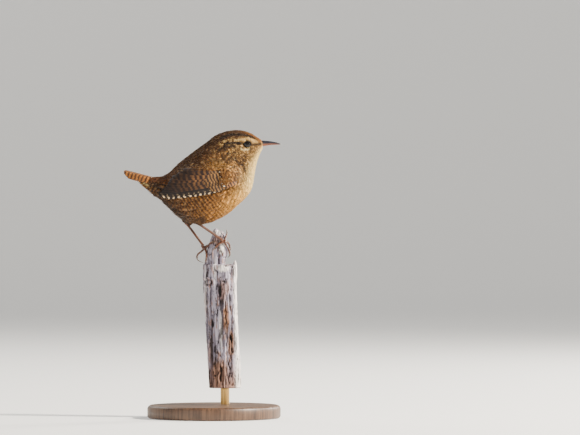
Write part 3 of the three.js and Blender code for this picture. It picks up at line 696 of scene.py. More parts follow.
def wood_material(name, pale, deep, crack, roughness, relief, weathered=False):
    """Grained wood. Weathered wood also reads each place's painted shade in its grooves, how brown it is, and
    its bleaching with painted light on the lit edge.
    """
    made, tree, shader = blank(name)
    grain = use(tree, GRAIN, fineness=1000.0, stretch=0.06)
    colour = mixed(tree, grain["Tone"], colour4(deep), colour4(pale))
    if weathered:
        bare = mixed(tree, grain["Tone"], colour4(BARE_DARK), colour4(BARE_PALE))
        colour = mixed(tree, value_of(tree, "brown"), colour, bare)
        # bleaching, and painted light on the lit right edge, mixed in as pale wood
        colour = mixed(tree, times(tree, value_of(tree, "bleach_and_light"), 0.8), colour, colour4(BLEACH_AND_LIGHT))
    colour = mixed(tree, times(tree, grain["Line"], 0.8), colour, colour4(crack))
    if weathered:
        # painted shade: grooves, cracks, splits and the knot's hollow darkened by their depth
        colour = mixed(tree, value_of(tree, "groove_shade"), colour, colour4(crack * 0.6))
    tree.links.new(colour, shader.inputs["Base Color"])
    shader.inputs["Roughness"].default_value = roughness
    bumped(tree, shader, grain["Height"], 0.7, relief)
    return made


def plain_material(name, colour, roughness, blotch=0.2, scale=900.0, relief=0.0, **shine):
    """One colour with soft blotches, for bill, legs, claws and rod. Shine is further shader values."""
    made, tree, shader = blank(name)
    cloud = cloud_in(tree, object_place(tree), scale, 3.0)
    shade = mapped(tree, cloud, 0.35, 0.65)
    result = mixed(tree, shade, colour4(colour * (1 - blotch)), colour4(colour * (1 + blotch)))
    tree.links.new(result, shader.inputs["Base Color"])
    shader.inputs["Roughness"].default_value = roughness
    for key, value in shine.items():
        shader.inputs[SHINE[key]].default_value = value
    if relief:
        bumped(tree, shader, cloud, 0.5, relief)
    return made


# Laying feathers

VANE = Form(sides=4, steps=5)
LONG_VANE = Form(sides=10, steps=22, crowd=1.25)
STRAND = Form(sides=3, steps=2, crowd=1.0)

# Each small feather's patch of the OFBake map, at its root's place on the skin
BAKE_PATCH = 0.003

# A feather's outline: width at the root, where it is widest, where its end begins to round, and the
# width left at the tip
CONTOUR_SHAPE = (0.45, 0.45, 0.5, 0.1)
FLIGHT_SHAPE = (0.5, 0.3, 0.72, 0.12)

# A map's edge is kept this far clear
BAKE_EDGE = 0.002


class Batch:
    """Feathers gathered into one mesh: places, named values and faces."""

    def __init__(self):
        self.places, self.layers, self.bake, self.corners, self.starts = [], [], [], [], []
        self.corner_count = 0
        self.count = 0

    def add(self, form, places, layers, bake):
        many = len(places)
        corners, starts = form.joined(many)
        self.places.append(places.reshape(-1, 3))
        self.layers.append({k: v.reshape(many * form.count, -1) for k, v in layers.items()})
        self.bake.append(bake.reshape(-1, 2))
        self.corners.append(corners + self.count)
        self.starts.append(starts + self.corner_count)
        self.count += many * form.count
        self.corner_count += len(corners)

    def piece(self, name, material, slot, *nodes):
        layers = {key: np.concatenate([part[key] for part in self.layers]) for key in self.layers[0]}
        piece = mesh_from(name, np.concatenate(self.places), np.concatenate(self.corners),
                          np.concatenate(self.starts), layers, np.concatenate(self.bake))
        return finish_piece(piece, material, slot, *nodes)


def layers_for(form, along, run, across_mm, q, luck, ground, barring, mottle):
    """Named values for each corner of many feathers. Rows are feathers, columns their corners."""
    shape = (len(luck), form.count)
    s = np.broadcast_to(form.across[None, :] * (1 if q is None else 0.15), shape)
    if q is not None:
        s = s + q[:, None]
    tone = np.concatenate([ground, np.ones((len(luck), 1))], axis=1)
    own = np.broadcast_to(luck[:, None], shape)
    return {
        "feather": np.stack([s, np.broadcast_to(along, shape), own], axis=-1),
        "lie": np.stack([run, across_mm, np.zeros_like(run)], axis=-1),
        "ground": np.broadcast_to(tone[:, None, :], (*shape, 4)),
        "barring": np.broadcast_to(barring[:, None], shape),
        "mottle": np.broadcast_to(mottle[:, None], shape).copy(),
    }


def laid(batch, face, form, roots, luck, thick=0.08, roof=0.06, q=None, start=0.0, end=None, thin=1.0):
    """Lays feathers on a face. Roots holds their u and v, length, width, turn, depth of the coat,
    lift of the tip, and marks. With q, each is one strand of a feather, q of the half width off its shaft."""
    u, v, length, width, turn, depth, lift, marks = roots
    many = len(u)
    _, normal = face.at(u, v)
    by_u, by_v = face.read(face.by_u, u, v), face.read(face.by_v, u, v)
    flat = unit(by_u - dot(by_u, normal) * normal)
    beside = np.cross(normal, flat)
    ahead = flat * np.cos(turn)[:, None] + beside * np.sin(turn)[:, None]
    side = np.cross(normal, ahead)
    end = np.ones(many) if end is None else end
    along = start + (end[:, None] - start) * form.along[None, :]
    run = along * length[:, None]
    if q is None:
        across = outline(np.clip(along, 0, 1), *CONTOUR_SHAPE) * form.across[None, :] * width[:, None] / 2
    else:
        fan = np.clip(along, 0, 1.2) ** 0.7
        strand = np.sqrt(np.clip(1 - form.along, 0.02, 1))
        across = (q[:, None] * fan + thin * strand[None, :] * form.across[None, :]) * width[:, None] / 2

    # the steps in u and v that carry each corner that far over the face
    offset = ahead[:, None, :] * run[..., None] + side[:, None, :] * across[..., None]
    a, b, c = dot(by_u, by_u), dot(by_u, by_v), dot(by_v, by_v)
    size = a * c - b * b
    pu = np.sum(offset * by_u[:, None, :], axis=-1)
    pv = np.sum(offset * by_v[:, None, :], axis=-1)
    place, up = face.at(u[:, None] + (c * pu - b * pv) / size, v[:, None] + (a * pv - b * pu) / size)

    share = np.clip(along, 0, 1)
    rise = -depth[:, None] * (1 - share) ** 1.1 + lift[:, None] * share**1.5
    rise = rise + thick * form.height[None, :] * (1 - 0.6 * share) * (1.0 if q is None else 0.6)
    bend = (form.across[None, :] if q is None else q[:, None] * np.ones_like(along)) ** 2
    rise = rise - roof * width[:, None] * bend
    layers = layers_for(form, along, run, across, q, luck, *marks)
    layers["lie"][..., 1] = face.read(face.passed, u, v) + run
    bake = np.stack([v[:, None] + BAKE_PATCH / 2 * np.clip(across / width[:, None] * 2, -1, 1),
                     u[:, None] + BAKE_PATCH * (share - 0.5)], axis=-1)
    batch.add(form, place + up * rise[..., None], layers, inset(bake))


def inset(bake):
    return BAKE_EDGE + (1 - 2 * BAKE_EDGE) * bake


# The coat of the body: for the back, the side and the underside, lengths of the feathers from bill
# to tail in millimetres, and how wide and how closely set they are for their length
BACK_LENGTHS = [(0, 1.2), (0.1, 1.8), (0.3, 2.9), (0.45, 4.6), (0.6, 6.0), (0.9, 7.0), (1, 6.5)]
SIDE_LENGTHS = [(0, 1.1), (0.1, 1.5), (0.25, 2.2), (0.36, 3.6), (0.5, 5.6), (0.7, 7.6), (1, 6.5)]
UNDER_LENGTHS = [(0, 1.1), (0.1, 1.8), (0.3, 3.4), (0.5, 6.2), (0.7, 8.0), (1, 6.5)]
WIDE_FOR_LENGTH = 0.46
ROW_FOR_LENGTH = 0.24
GAP_FOR_WIDTH = 0.62
STRANDS_HEAD = 9
STRANDS_BODY = 13
STRANDS_SHOULDER = 12
STRANDS_THIGH = 5
STRAND_REACH = 1.16
FIRST_ROW = 0.004
LAST_ROW = 0.97
RING_PARTS = 96


def body_lengths(u, v):
    low = lowness(v)
    tables = (BACK_LENGTHS, SIDE_LENGTHS, UNDER_LENGTHS)
    return blended(tables, u, soft(low, *SIDE_BEGINS), soft(low, *UNDER_BEGINS))


def staggered(count, row):
    """Uneven shares of a row, every second row half a step on."""
    return (np.arange(count) + 0.5 * (row % 2) + chance.uniform(-0.2, 0.2, count)) / count


def body_roots(face):
    """Roots of the body's feathers, in staggered rows from bill to tail."""
    us, vs = [], []
    u, row = FIRST_ROW, 0
    bounds = np.linspace(0, 1, RING_PARTS + 1)
    ring = bounds[:-1]
    while u < LAST_ROW:
        here = np.full(len(ring), u)
        speed = np.linalg.norm(face.read(face.by_u, here, ring), axis=1)
        around = np.linalg.norm(face.read(face.by_v, here, ring), axis=1)
        lengths = body_lengths(here, ring)
        density = around / (lengths * WIDE_FOR_LENGTH * GAP_FOR_WIDTH)
        count = max(8, int(density.mean()))
        spread = np.concatenate([[0], np.cumsum(density)])
        at = staggered(count, row)
        vs.append(np.interp(np.mod(at, 1), spread / spread[-1], bounds))
        step = ROW_FOR_LENGTH / np.mean(speed / lengths)
        us.append(u + chance.uniform(-0.35, 0.35, count) * step)
        u += step
        row += 1
    return np.clip(np.concatenate(us), 0.001, 0.985), np.concatenate(vs)


def strands_over(batch, face, many, roots, luck):
    """Loose strands over each feather, fanning out past its tip."""
    u, v, length, width, turn, depth, lift, marks = roots

    def spread(low, high):
        return chance.uniform(low, high, len(u))

    for k in range(many):
        q = (2 * k / (many - 1) - 1) * 1.05 + spread(-0.2, 0.2)
        end = STRAND_REACH - 0.32 * q**2 + spread(-0.12, 0.12)
        shade = np.clip(luck + spread(-0.3, 0.3), 0, 1)
        strand = (u, v, length, width * 1.1, turn + spread(-0.08, 0.08), depth,
                  lift + 0.05 + spread(0, 0.14), marks)
        laid(batch, face, STRAND, strand, shade, thick=0.05, roof=0.07, q=q, start=0.3, end=end, thin=0.1)


def feathered(batch, face, many, roots, luck, vane_length):
    """A vane for each root, a share of its length long, and its strands over it."""
    laid(batch, face, VANE, (*roots[:2], roots[2] * vane_length, *roots[3:]), luck)
    strands_over(batch, face, many, roots, luck)


BODY = body_face()
SIDES = {side: side_face(side, WING_COVER, WING_SMOOTH) for side in SIDE_NAMES}
OUTER = {side: side_face(side, 0.0, OUTER_SMOOTH)[0] for side in SIDE_NAMES}


def under_wing(places):
    """True where a place on the body lies under a folded wing, well inside its edge."""
    hidden = np.zeros(len(places), bool)
    for side, (_, on_wing) in SIDES.items():
        a, b = ((places[:, k] - low) / SIDE_STEP for k, low in ((0, SIDE_X[0]), (2, SIDE_Z[0])))
        last = np.array(on_wing.shape) - 3
        inside = (a > 2) & (b > 2) & (a < last[0]) & (b < last[1])
        i, j = np.clip(a.astype(int), 2, last[0]), np.clip(b.astype(int), 2, last[1])
        covered = on_wing[i, j] * on_wing[i - 2, j] * on_wing[i, j - 2] * on_wing[i, j + 2] > 0
        hidden |= inside & covered & (places[:, 1] * side > 0)
    return hidden


# The coat's pieces, from bill to tail: u from and to, and the parts round the body
COAT_PIECES = [
    ("coat_face", 0, 0.17, "whole"), ("coat_head", 0.17, 0.3, "halves"), ("coat_neck", 0.3, 0.47, "halves"),
    ("coat_back", 0.47, 2, "top"), ("coat", 0.47, 0.66, "flanks"), ("coat_vent", 0.66, 2, "flanks"),
]
COAT_BACK_ENDS = 0.35


def coat_pieces(u, v):
    """The name of each coat piece, and which of the feathers are in it."""
    low = lowness(v)
    for name, first, last, parts in COAT_PIECES:
        there = (u >= first) & (u < last)
        if parts == "whole":
            yield name, there
        elif parts == "top":
            yield name, there & (low < COAT_BACK_ENDS)
        else:
            if parts == "flanks":
                there = there & (low >= COAT_BACK_ENDS)
            yield f"{name}_left", there & (v < 0.5)
            yield f"{name}_right", there & (v >= 0.5)


def body_coat():
    """The small feathers of the head and body, in pieces by their place."""
    u, v = body_roots(BODY)
    places, _ = BODY.at(u, v)
    eye = np.hypot(places[:, 0] - EYE_AT[0], places[:, 2] - EYE_AT[1])
    keep = (eye > EYE_CLEAR) & ~under_wing(places)
    u, v, places, eye = u[keep], v[keep], places[keep], eye[keep]
    length = body_lengths(u, v) * chance.uniform(0.85, 1.15, len(u))
    ahead_of_eye = (places[:, 0] > EYE_AT[0]) & (eye < EYE_CLEAR + 1.8) & (np.abs(v - 0.5) > 0.05)
    length = np.where(ahead_of_eye, np.minimum(length, np.maximum(0.7, eye - EYE_CLEAR + 0.55)), length)
    turn = chance.uniform(-0.16, 0.16, len(u))
    lift = chance.uniform(-0.04, 0.1, len(u)) + soft(u, 0.4, 0.8) * chance.uniform(0, 0.35, len(u))
    luck = chance.uniform(0, 1, len(u))
    values = (u, v, length, length * WIDE_FOR_LENGTH, turn, ramp(COAT_DEPTH, u), lift)
    marks = markings(places, u, v)
    for name, mask in coat_pieces(u, v):
        batch = Batch()
        many = STRANDS_HEAD if "head" in name or "face" in name else STRANDS_BODY
        roots = (*(value[mask] for value in values), tuple(mark[mask] for mark in marks))
        feathered(batch, BODY, many, roots, luck[mask], 0.9)
        batch.piece(name, PLUMAGE, "plumage")


SKIN_AROUND = 96
SKIN_ALONG = 110
SKIN_END_RING = 24


def skin_piece():
    """One closed skin from the bill to the tail, inside the coat."""
    bm = bmesh.new()
    bmesh.ops.create_uvsphere(bm, u_segments=SKIN_AROUND, v_segments=SKIN_ALONG, radius=1)
    bm.verts.index_update()
    co = np.array([vert.co for vert in bm.verts])
    faces = [[vert.index for vert in f.verts][::-1] for f in bm.faces]
    bm.free()
    share = np.arccos(np.clip(co[:, 2], -1, 1)) / math.pi
    pole = (share < 1e-4) | (share > 1 - 1e-4)
    u = np.clip((share - 1 / SKIN_ALONG) / (1 - 2 / SKIN_ALONG), 0, 1)
    v = np.mod(np.arctan2(co[:, 1], co[:, 0]) / (2 * math.pi), 1)
    v[v > 1 - 1e-5] = 0
    place, up = BODY.at(u, v)
    place = place - up * ramp(COAT_DEPTH, u)[:, None]
    for end in (0.0, 1.0):
        ring, _ = BODY.at(np.full(SKIN_END_RING, end), np.arange(SKIN_END_RING) / SKIN_END_RING)
        place[pole & (u == end)] = ring.mean(axis=0)
    rows = []
    for face in faces:
        values = v[face].copy()
        if values.max() - values.min() > 0.5:
            values[values < 0.5] += 1
        middle = values[~pole[face]].mean() if pole[face].any() else 0
        rows.append(np.column_stack([np.where(pole[face], middle, values), u[face]]))
    ground, barring, mottle = markings(place, u, v)
    layers = {
        "feather": np.tile([0.0, 0.6, 0.5], (len(place), 1)),
        "lie": np.column_stack([u * 80, BODY.read(BODY.passed, u, v)[:, 0], u * 0]),
        "ground": np.column_stack([ground, np.ones(len(place))]), "barring": barring, "mottle": mottle,
    }
    piece = mesh_piece("skin", place, faces, layers, inset(np.concatenate(rows)))
    return finish_piece(piece, plumage_material("skin", coat=False), "plumage", "head", "neck", "torso",
                        "thigh_left", "thigh_right")


# Wings. Each tier runs from a line of roots to a line of tips in side view (x, z). Rise is the height
# of its lowest and highest feather over the face under the wing. Fade darkens feathers by their place
# in the tier, edge_fade by their height over the wing's lower edge, and dusk towards their tips.
WING_TIERS = [
    dict(kind="primary", count=9, roots=[(8.5, 126.8), (5.5, 128.0), (2.5, 129.4)],
         tips=[(-9.5, 121.2), (-20.5, 119.4), (-28.0, 119.4), (-29.8, 120.6), (-27.4, 122.8)],
         width=3.3, rise=(1.1, 1.4), bow=-1.0,
         edge_fade=([0.8, 1.1, 1.6, 1.9, 2.3, 2.7], [0, 0.93, 0.93, 0.6, 0.94, 1])),
    dict(kind="secondary", count=8, roots=[(4.5, 127.8), (3.5, 130.5), (1.5, 133.0)],
         tips=[(-26.6, 122.8), (-25.0, 125.2), (-22.0, 128.8), (-15.6, 132.8)],
         width=3.9, rise=(1.4, 1.75), bow=-0.6, fade=([0, 0.5, 1], [0.22, 0, 0.11]), dusk=0.64),
    dict(kind="covert", count=9, roots=[(9.4, 127.2), (7.4, 130.6), (5.0, 133.0)],
         tips=[(-1.6, 123.2), (-5.0, 126.6), (-6.4, 129.6), (-6.4, 132.6)],
         width=2.9, rise=(1.7, 1.6), bow=-0.4, fade=([0, 1], [0.15, 0])),
    dict(kind="small_covert", count=8, roots=[(11.4, 128.0), (10.2, 130.6), (9.2, 132.8)],
         tips=[(4.8, 125.2), (3.0, 129.4), (2.6, 132.4)],
         width=2.5, rise=(1.95, 1.5), bow=0, fade=([0, 1], [0.08, 0])),
]
WING_TILT = 0.16
WING_THICK = 0.11
WING_ROOF = 0.07
WING_FEATHERS = sum(tier["count"] for tier in WING_TIERS)


def side_grid(x, z):
    return ((x - SIDE_X[0]) / (SIDE_X[1] - SIDE_X[0]), (z - SIDE_Z[0]) / (SIDE_Z[1] - SIDE_Z[0]))


def no_marks(many):
    return np.tile([0.2, 0.12, 0.06], (many, 1)), np.zeros(many), np.zeros(many)


def vane_rise(form, t, width):
    """The height of a flight feather's corners over its root: a low roof, thinner to the tip."""
    return WING_THICK * form.height * (1 - 0.5 * t) - WING_ROOF * width * form.across**2


def vane_patch(slot, many, form, t, slots):
    """The OFBake places of many flight feathers, side by side from a slot of the map on."""
    column = slot + np.arange(many)[:, None] + 0.5 + 0.42 * form.across
    return np.stack([column / slots, 0.02 + 0.96 * np.broadcast_to(t, column.shape)], axis=-1)


def lowest_at(x, z):
    """The height of the lowest feather edge under each place, in side view."""
    cells = np.round(x).astype(int)
    at = np.unique(cells)
    return np.interp(x, at, [z[cells == k].min() for k in at])


def wing_pieces(side):
    face, _ = SIDES[side]
    back = WING_LEFT_BACK if side > 0 else 0
    name = SIDE_NAMES[side]
    form = LONG_VANE
    t = form.along
    slot = 0
    for tier in WING_TIERS:
        many = tier["count"]
        share = np.linspace(0, 1, many)
        root, tip = through(tier["roots"], share), through(tier["tips"], share)
        tip = tip + chance.uniform(-0.35, 0.35, tip.shape) * [1, 0.25]
        way = tip - root
        length = np.hypot(*way.T)[:, None]
        across = np.column_stack([-way[:, 1], way[:, 0]]) / length
        wide = outline(t, *FLIGHT_SHAPE) * form.across * tier["width"] / 2
        off = wide - tier["bow"] * 4 * t * (1 - t)
        x, z = (root[:, k, None] + way[:, k, None] * t + across[:, k, None] * off for k in (0, 1))
        x = x - back
        place, up = face.at(*side_grid(x, z))
        rise = np.interp(share, (0, 1), tier["rise"])[:, None] + WING_TILT * wide
        rise = rise - 0.5 * (1 - soft(t, 0.0, 0.3)) + vane_rise(form, t, tier["width"])
        luck = chance.uniform(0, 1, many)
        layers = layers_for(form, t, t * length, np.broadcast_to(wide, x.shape), None, luck, *no_marks(many))
        if "edge_fade" in tier:
            fade = np.interp(z - lowest_at(x, z), *tier["edge_fade"])
        else:
            fade = np.interp(share, *tier["fade"])[:, None] + tier.get("dusk", 0) * soft(t, 0.3, 0.85)
        layers["mottle"][:] = np.clip(fade, 0, 1)
        layers["lie"][..., 2] = -x - 0.5 * z
        batch = Batch()
        batch.add(form, place + up * rise[..., None], layers, vane_patch(slot, many, form, t, WING_FEATHERS))
        slot += many
        nodes = [f"wing_{name}"] if tier["kind"] == "primary" else []
        batch.piece(f"wing_{name}_{tier['kind']}", FLIGHT[tier["kind"]], "flight_feathers", *nodes)


# Rows of small feathers laid over the wing and shoulder: a line of roots in side view, how many, the
# way they point in degrees below level, their length and width, and the height of root and tip
COVER_ROWS = [
    ([(6.4, 134.4), (6.8, 130.6), (5.8, 127.4)], 10, 22, (3.0, 1.6), (0.3, 0.7)),
    ([(7.6, 134.6), (8.0, 130.6), (7.0, 127.0)], 11, 22, (3.0, 1.6), (0.3, 0.75)),
    ([(8.8, 134.6), (9.2, 130.6), (8.2, 126.8)], 11, 22, (3.2, 1.7), (0.3, 0.8)),
    ([(10.0, 134.8), (10.4, 130.8), (9.4, 126.6)], 12, 22, (3.2, 1.7), (0.3, 0.8)),
    ([(11.2, 135.0), (11.7, 131.0), (10.7, 126.4)], 12, 22, (3.2, 1.7), (0.15, 0.75)),
    ([(12.4, 135.4), (13.0, 131.2), (12.0, 126.2)], 13, 24, (3.3, 1.7), (0, 0.6)),
    ([(13.6, 136.0), (14.3, 131.4), (13.3, 125.8)], 14, 26, (3.5, 1.8), (-0.2, 0.35)),
    ([(14.8, 136.6), (15.7, 131.6), (14.7, 125.4)], 14, 30, (3.7, 1.8), (-0.4, 0.3)),
    ([(16.0, 137.4), (17.1, 131.8), (16.1, 125.0)], 14, 34, (4.0, 1.9), (-0.6, 0.2)),
    ([(-16.0, 133.6), (-6.0, 134.6), (3.0, 135.0), (10.0, 135.0)], 28, 16, (4.6, 2.1), (-0.1, 0.4)),
    ([(-15.0, 134.8), (-5.0, 135.8), (4.5, 136.3), (11.5, 136.3)], 28, 17, (4.6, 2.1), (-0.2, 0.4)),
    ([(-14.0, 136.0), (-3.0, 137.1), (6.0, 137.6), (12.5, 137.7)], 28, 18, (4.6, 2.1), (-0.3, 0.35)),
    ([(-13.0, 137.2), (-2.0, 138.4), (7.0, 138.9), (13.5, 139.1)], 28, 19, (4.6, 2.1), (-0.5, 0.3)),
    ([(-12.0, 138.3), (-1.0, 139.7), (8.0, 140.3), (14.5, 140.5)], 28, 20, (4.4, 2.0), (-0.7, 0.2)),
]
COVER_BARRING = 0.7
COVER_MOTTLE = 0.6


def cover_pieces(side):
    """Scapulars and the small coverts of the wing's front edge."""
    face = OUTER[side]
    back = WING_LEFT_BACK * 0.7 if side > 0 else 0
    batch = Batch()
    for line, many, down, (long, broad), (root_high, tip_high) in reversed(COVER_ROWS):
        root = through(line, (np.arange(many) + 0.5) / many) + chance.uniform(-0.3, 0.3, (many, 2))
        u, v = side_grid(root[:, 0] - back, root[:, 1])
        length = long * chance.uniform(0.88, 1.15, many)
        width = broad * chance.uniform(0.9, 1.1, many)
        turn = math.pi - side * (math.radians(down) + chance.uniform(-0.12, 0.12, many))
        place, _ = face.at(u, v)
        ground, barring, mottle = markings(place, *nearest_body(place))
        marks = (ground, np.maximum(barring, COVER_BARRING), np.maximum(mottle, COVER_MOTTLE))
        luck = chance.uniform(0, 1, many)
        roots = (u, v, length, width, turn, np.full(many, -root_high), np.full(many, tip_high), marks)
        feathered(batch, face, STRANDS_SHOULDER, roots, luck, 0.85)
    batch.piece(f"shoulder_{SIDE_NAMES[side]}", PLUMAGE, "plumage")


def nearest_body(places):
    """The body face's (u, v) nearest to some places."""
    us = np.linspace(0, 1, 70)
    vs = np.linspace(0, 1, 61)[:-1]
    uu, vv = [a.ravel() for a in np.meshgrid(us, vs, indexing="ij")]
    grid, _ = BODY.at(uu, vv)
    away = np.linalg.norm(places[:, None, :] - grid[None, :, :], axis=-1)
    best = np.argmin(away, axis=1)
    return uu[best], vv[best]


# Tail
TAIL_ROOT = np.array([-26.2, 0, 126.8])
TAIL_LENGTH = 23.4
TAIL_RISE = math.radians(14.5)
TAIL_ROLL = math.radians(20)
TAIL_PAIRS = 6
TAIL_WIDTH = 3.7


def tail_piece():
    """Twelve feathers in pairs, the middle pair on top, on a plane rolled towards the side in view."""
    way = np.array([-math.cos(TAIL_RISE), 0, math.sin(TAIL_RISE)])
    up = np.array([math.sin(TAIL_RISE), 0, math.cos(TAIL_RISE)])
    beside = np.array([0.0, 1.0, 0.0])
    c, s = math.cos(-TAIL_ROLL), math.sin(-TAIL_ROLL)
    side_way = beside * c + np.cross(way, beside) * s
    top_way = up * c + np.cross(way, up) * s
    batch = Batch()
    form = LONG_VANE
    t = form.along
    off = outline(t, *FLIGHT_SHAPE) * form.across * TAIL_WIDTH / 2
    order = [(pair, side) for pair in reversed(range(TAIL_PAIRS)) for side in (-1, 1)]
    for slot, (pair, side) in enumerate(order):
        over = side > 0
        length = TAIL_LENGTH - 0.12 * pair**2 - 0.4 * over + chance.uniform(-0.2, 0.2)
        out = side * (0.25 + 0.2 * pair + (0.3 + 0.36 * pair) * t)
        down = pair * (0.34 + 0.08 * t)
        high = 1.15 + 0.12 * over - 0.06 * TAIL_WIDTH * form.across**2
        high = high + WING_THICK * form.height * (1 - 0.5 * t) - down - side * off * 0.1
        place = (TAIL_ROOT + way * (t * length)[:, None] + side_way * (out + off)[:, None]
                 + top_way * high[:, None])
        run = (t * length)[None, :]
        luck = chance.uniform(0, 1, 1)
        layers = layers_for(form, t[None, :], run, side * off[None, :], None, luck, *no_marks(1))
        layers["lie"][..., 2] = run
        batch.add(form, place[None], layers, vane_patch(slot, 1, form, t, 2 * TAIL_PAIRS))
    return batch.piece("tail_feathers", FLIGHT["tail"], "tail_feathers", "tail")


# Bill, eyes, legs, stake and stand

BILL_BASE_X = 26.3
BILL_TIP_X = 36.2
BILL_INSIDE = 1.6
MOUTH_Z = 148.0
NOSTRIL_X = 28.3
NOSTRIL_RISE = 0.55
BILL_AROUND = 28
BILL_STEPS = 40
BILL_THIN = 0.12
LOWER_SHORTER = 0.35


def ringed(name, rings, joined=False):
    """A closed piece through rings of places: a tube that takes them on. Joined rings make a hoop."""
    rings = np.asarray(rings)
    if joined:
        rings = np.concatenate([rings, rings[:1]])
    steps, around = len(rings) - 1, rings.shape[1]
    bm = tube(around, steps, cap_ends=not joined)
    for vert in bm.verts:
        x, y, z = vert.co
        turn = round(math.atan2(x, y) / (2 * math.pi) * around) % around
        vert.co = rings[round((z + 0.5) * steps), turn] * MM
    bmesh.ops.remove_doubles(bm, verts=bm.verts, dist=SAME_PLACE)
    bmesh.ops.recalc_face_normals(bm, faces=bm.faces)
    if bm.calc_volume(signed=True) < 0:
        bmesh.ops.reverse_faces(bm, faces=bm.faces)
    return smooth_piece(name, bm)


def bill_half(name, edge, depth, half_width, droop, material, node):
    """One half of the bill. The edge is 1 for the upper half and -1 for the lower, a little shorter."""
    length = BILL_TIP_X - BILL_BASE_X - (LOWER_SHORTER if edge < 0 else 0) + BILL_INSIDE
    rings = []
    for i in range(BILL_STEPS + 1):
        x = BILL_BASE_X - BILL_INSIDE + i / BILL_STEPS * length
        t = max(0.0, (x - BILL_BASE_X) / (length - BILL_INSIDE))
        mouth = MOUTH_Z + 0.25 * math.sin(t * math.pi) + edge * 0.07 - droop * t**3
        height = (BILL_THIN + (depth - BILL_THIN) * (1 - t) ** 0.75) * 0.99
        half = (0.1 + (half_width - 0.1) * (1 - t) ** 0.9) * 0.99
        if i == BILL_STEPS:
            height, half = height * 0.4, half * 0.4
        ring = []
        for k in range(BILL_AROUND):
            angle = 2 * math.pi * k / BILL_AROUND
            rise, side = math.sin(angle), math.cos(angle)
            up = rise**0.85 * height if rise >= 0 else rise * min(BILL_THIN, height * 0.3)
            groove = 0.0
            if edge > 0 and rise > 0:
                groove = 0.3 * math.exp(-math.hypot((x - NOSTRIL_X) / 0.95, (rise - NOSTRIL_RISE) / 0.2) ** 2)
            ring.append((x, side * half * (1 - groove), mouth + edge * up))
        rings.append(ring)
    return finish_piece(ringed(name, rings), material, node, node)


EYE_RADIUS = 2.2
LID_RADIUS = 1.74
LID_OUT = 1.4
LID_STEPS = 64
LID_SECTION = 12


def corners_of(node):
    """The corners of a solid, in millimetres."""
    return np.array([v.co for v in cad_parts[node].data.vertices]) / MM


def eye_pieces(side):
    """An eyeball and the ring of its lids, facing the way the head's side faces there."""
    name = SIDE_NAMES[side]
    co = corners_of(f"eye_{name}")
    middle = (co.min(axis=0) + co.max(axis=0)) / 2
    _, look = BODY.at(*nearest_body(np.array([[EYE_AT[0], side * 8.0, EYE_AT[1]]])))
    look = look[0]
    bm = bmesh.new()
    bmesh.ops.create_uvsphere(bm, u_segments=48, v_segments=32, radius=EYE_RADIUS * MM)
    bmesh.ops.translate(bm, verts=bm.verts, vec=middle * MM)
    finish_piece(smooth_piece(f"eyeball_{name}", bm), EYE, "eye", f"eye_{name}")
    up = unit(np.array([0.0, 0, 1.0]) - look * look[2])
    fore = np.cross(up, look)
    fore = fore * np.sign(fore[0])
    rings = []
    for angle in np.linspace(0, 2 * math.pi, LID_STEPS, endpoint=False):
        high = math.sin(angle)
        radius = LID_RADIUS + 0.05 * math.cos(2 * angle)
        thick = 0.11 + 0.06 * max(0, high) + 0.02 * max(0, -high)
        lean = 0.14 * max(0, high)
        centre = look * (LID_OUT + lean) + (fore * math.cos(angle) * 1.06 + up * high * 0.9) * radius
        spoke = unit(fore * math.cos(angle) + up * high)
        rings.append([middle + centre + spoke * math.cos(a) * thick + look * math.sin(a) * thick * 0.9
                      for a in np.linspace(0, 2 * math.pi, LID_SECTION, endpoint=False)])
    finish_piece(ringed(f"eyelid_{name}", rings, joined=True), LID, "leg")


def remade(name, sources, voxel, smoothing):
    """One smooth closed mesh over some of the solids: its places and faces."""
    mesh = bpy.data.meshes.new(name)
    bm = bmesh.new()
    for source in sources:
        bm.from_mesh(source)
    bmesh.ops.remove_doubles(bm, verts=bm.verts, dist=SAME_PLACE)
    bm.to_mesh(mesh)
    bm.free()
    piece = placed(name, mesh)
    remesh = piece.modifiers.new("fine", "REMESH")
    remesh.mode = "VOXEL"
    remesh.voxel_size = voxel * MM
    soften = piece.modifiers.new("soft", "SMOOTH")
    soften.factor = 0.5
    soften.iterations = smoothing
    done = bpy.data.meshes.new_from_object(piece.evaluated_get(bpy.context.evaluated_depsgraph_get()))
    bpy.data.objects.remove(piece)
    co = np.array([v.co for v in done.vertices]) / MM
    return co, np.array([v.normal for v in done.vertices]), [list(p.vertices) for p in done.polygons]


def rod_between(start, end, radius1, radius2):
    """A short closed rod, as a mesh, between two places in millimetres."""
    mesh = bpy.data.meshes.new("rod_between")
    bm = bmesh.new()
    turn = Vector(unit(end - start)).to_track_quat("Z", "Y").to_matrix().to_4x4()
    turn.translation = Vector((start + end) / 2 * MM)
    bmesh.ops.create_cone(bm, cap_ends=True, segments=16, radius1=radius1 * MM, radius2=radius2 * MM,
                          depth=float(np.linalg.norm(end - start)) * MM, matrix=turn)
    bm.to_mesh(mesh)
    bm.free()
    return mesh


# The heel and the hip of each leg
LEGS = {
    "left": (np.array([-15.1, 4.8, 105.3]), np.array([-10.5, 7.0, 113.5])),
    "right": (np.array([-9.1, -5.6, 105.5]), np.array([-3.5, -7.5, 113.5])),
}
SCALE_STEP = 0.85
SCALE_HEIGHT = 0.05

# How fine the legs, claws and stake are made anew, in millimetres
LEG_GRAIN = 0.13
CLAW_GRAIN = 0.07
STAKE_GRAIN = 0.36


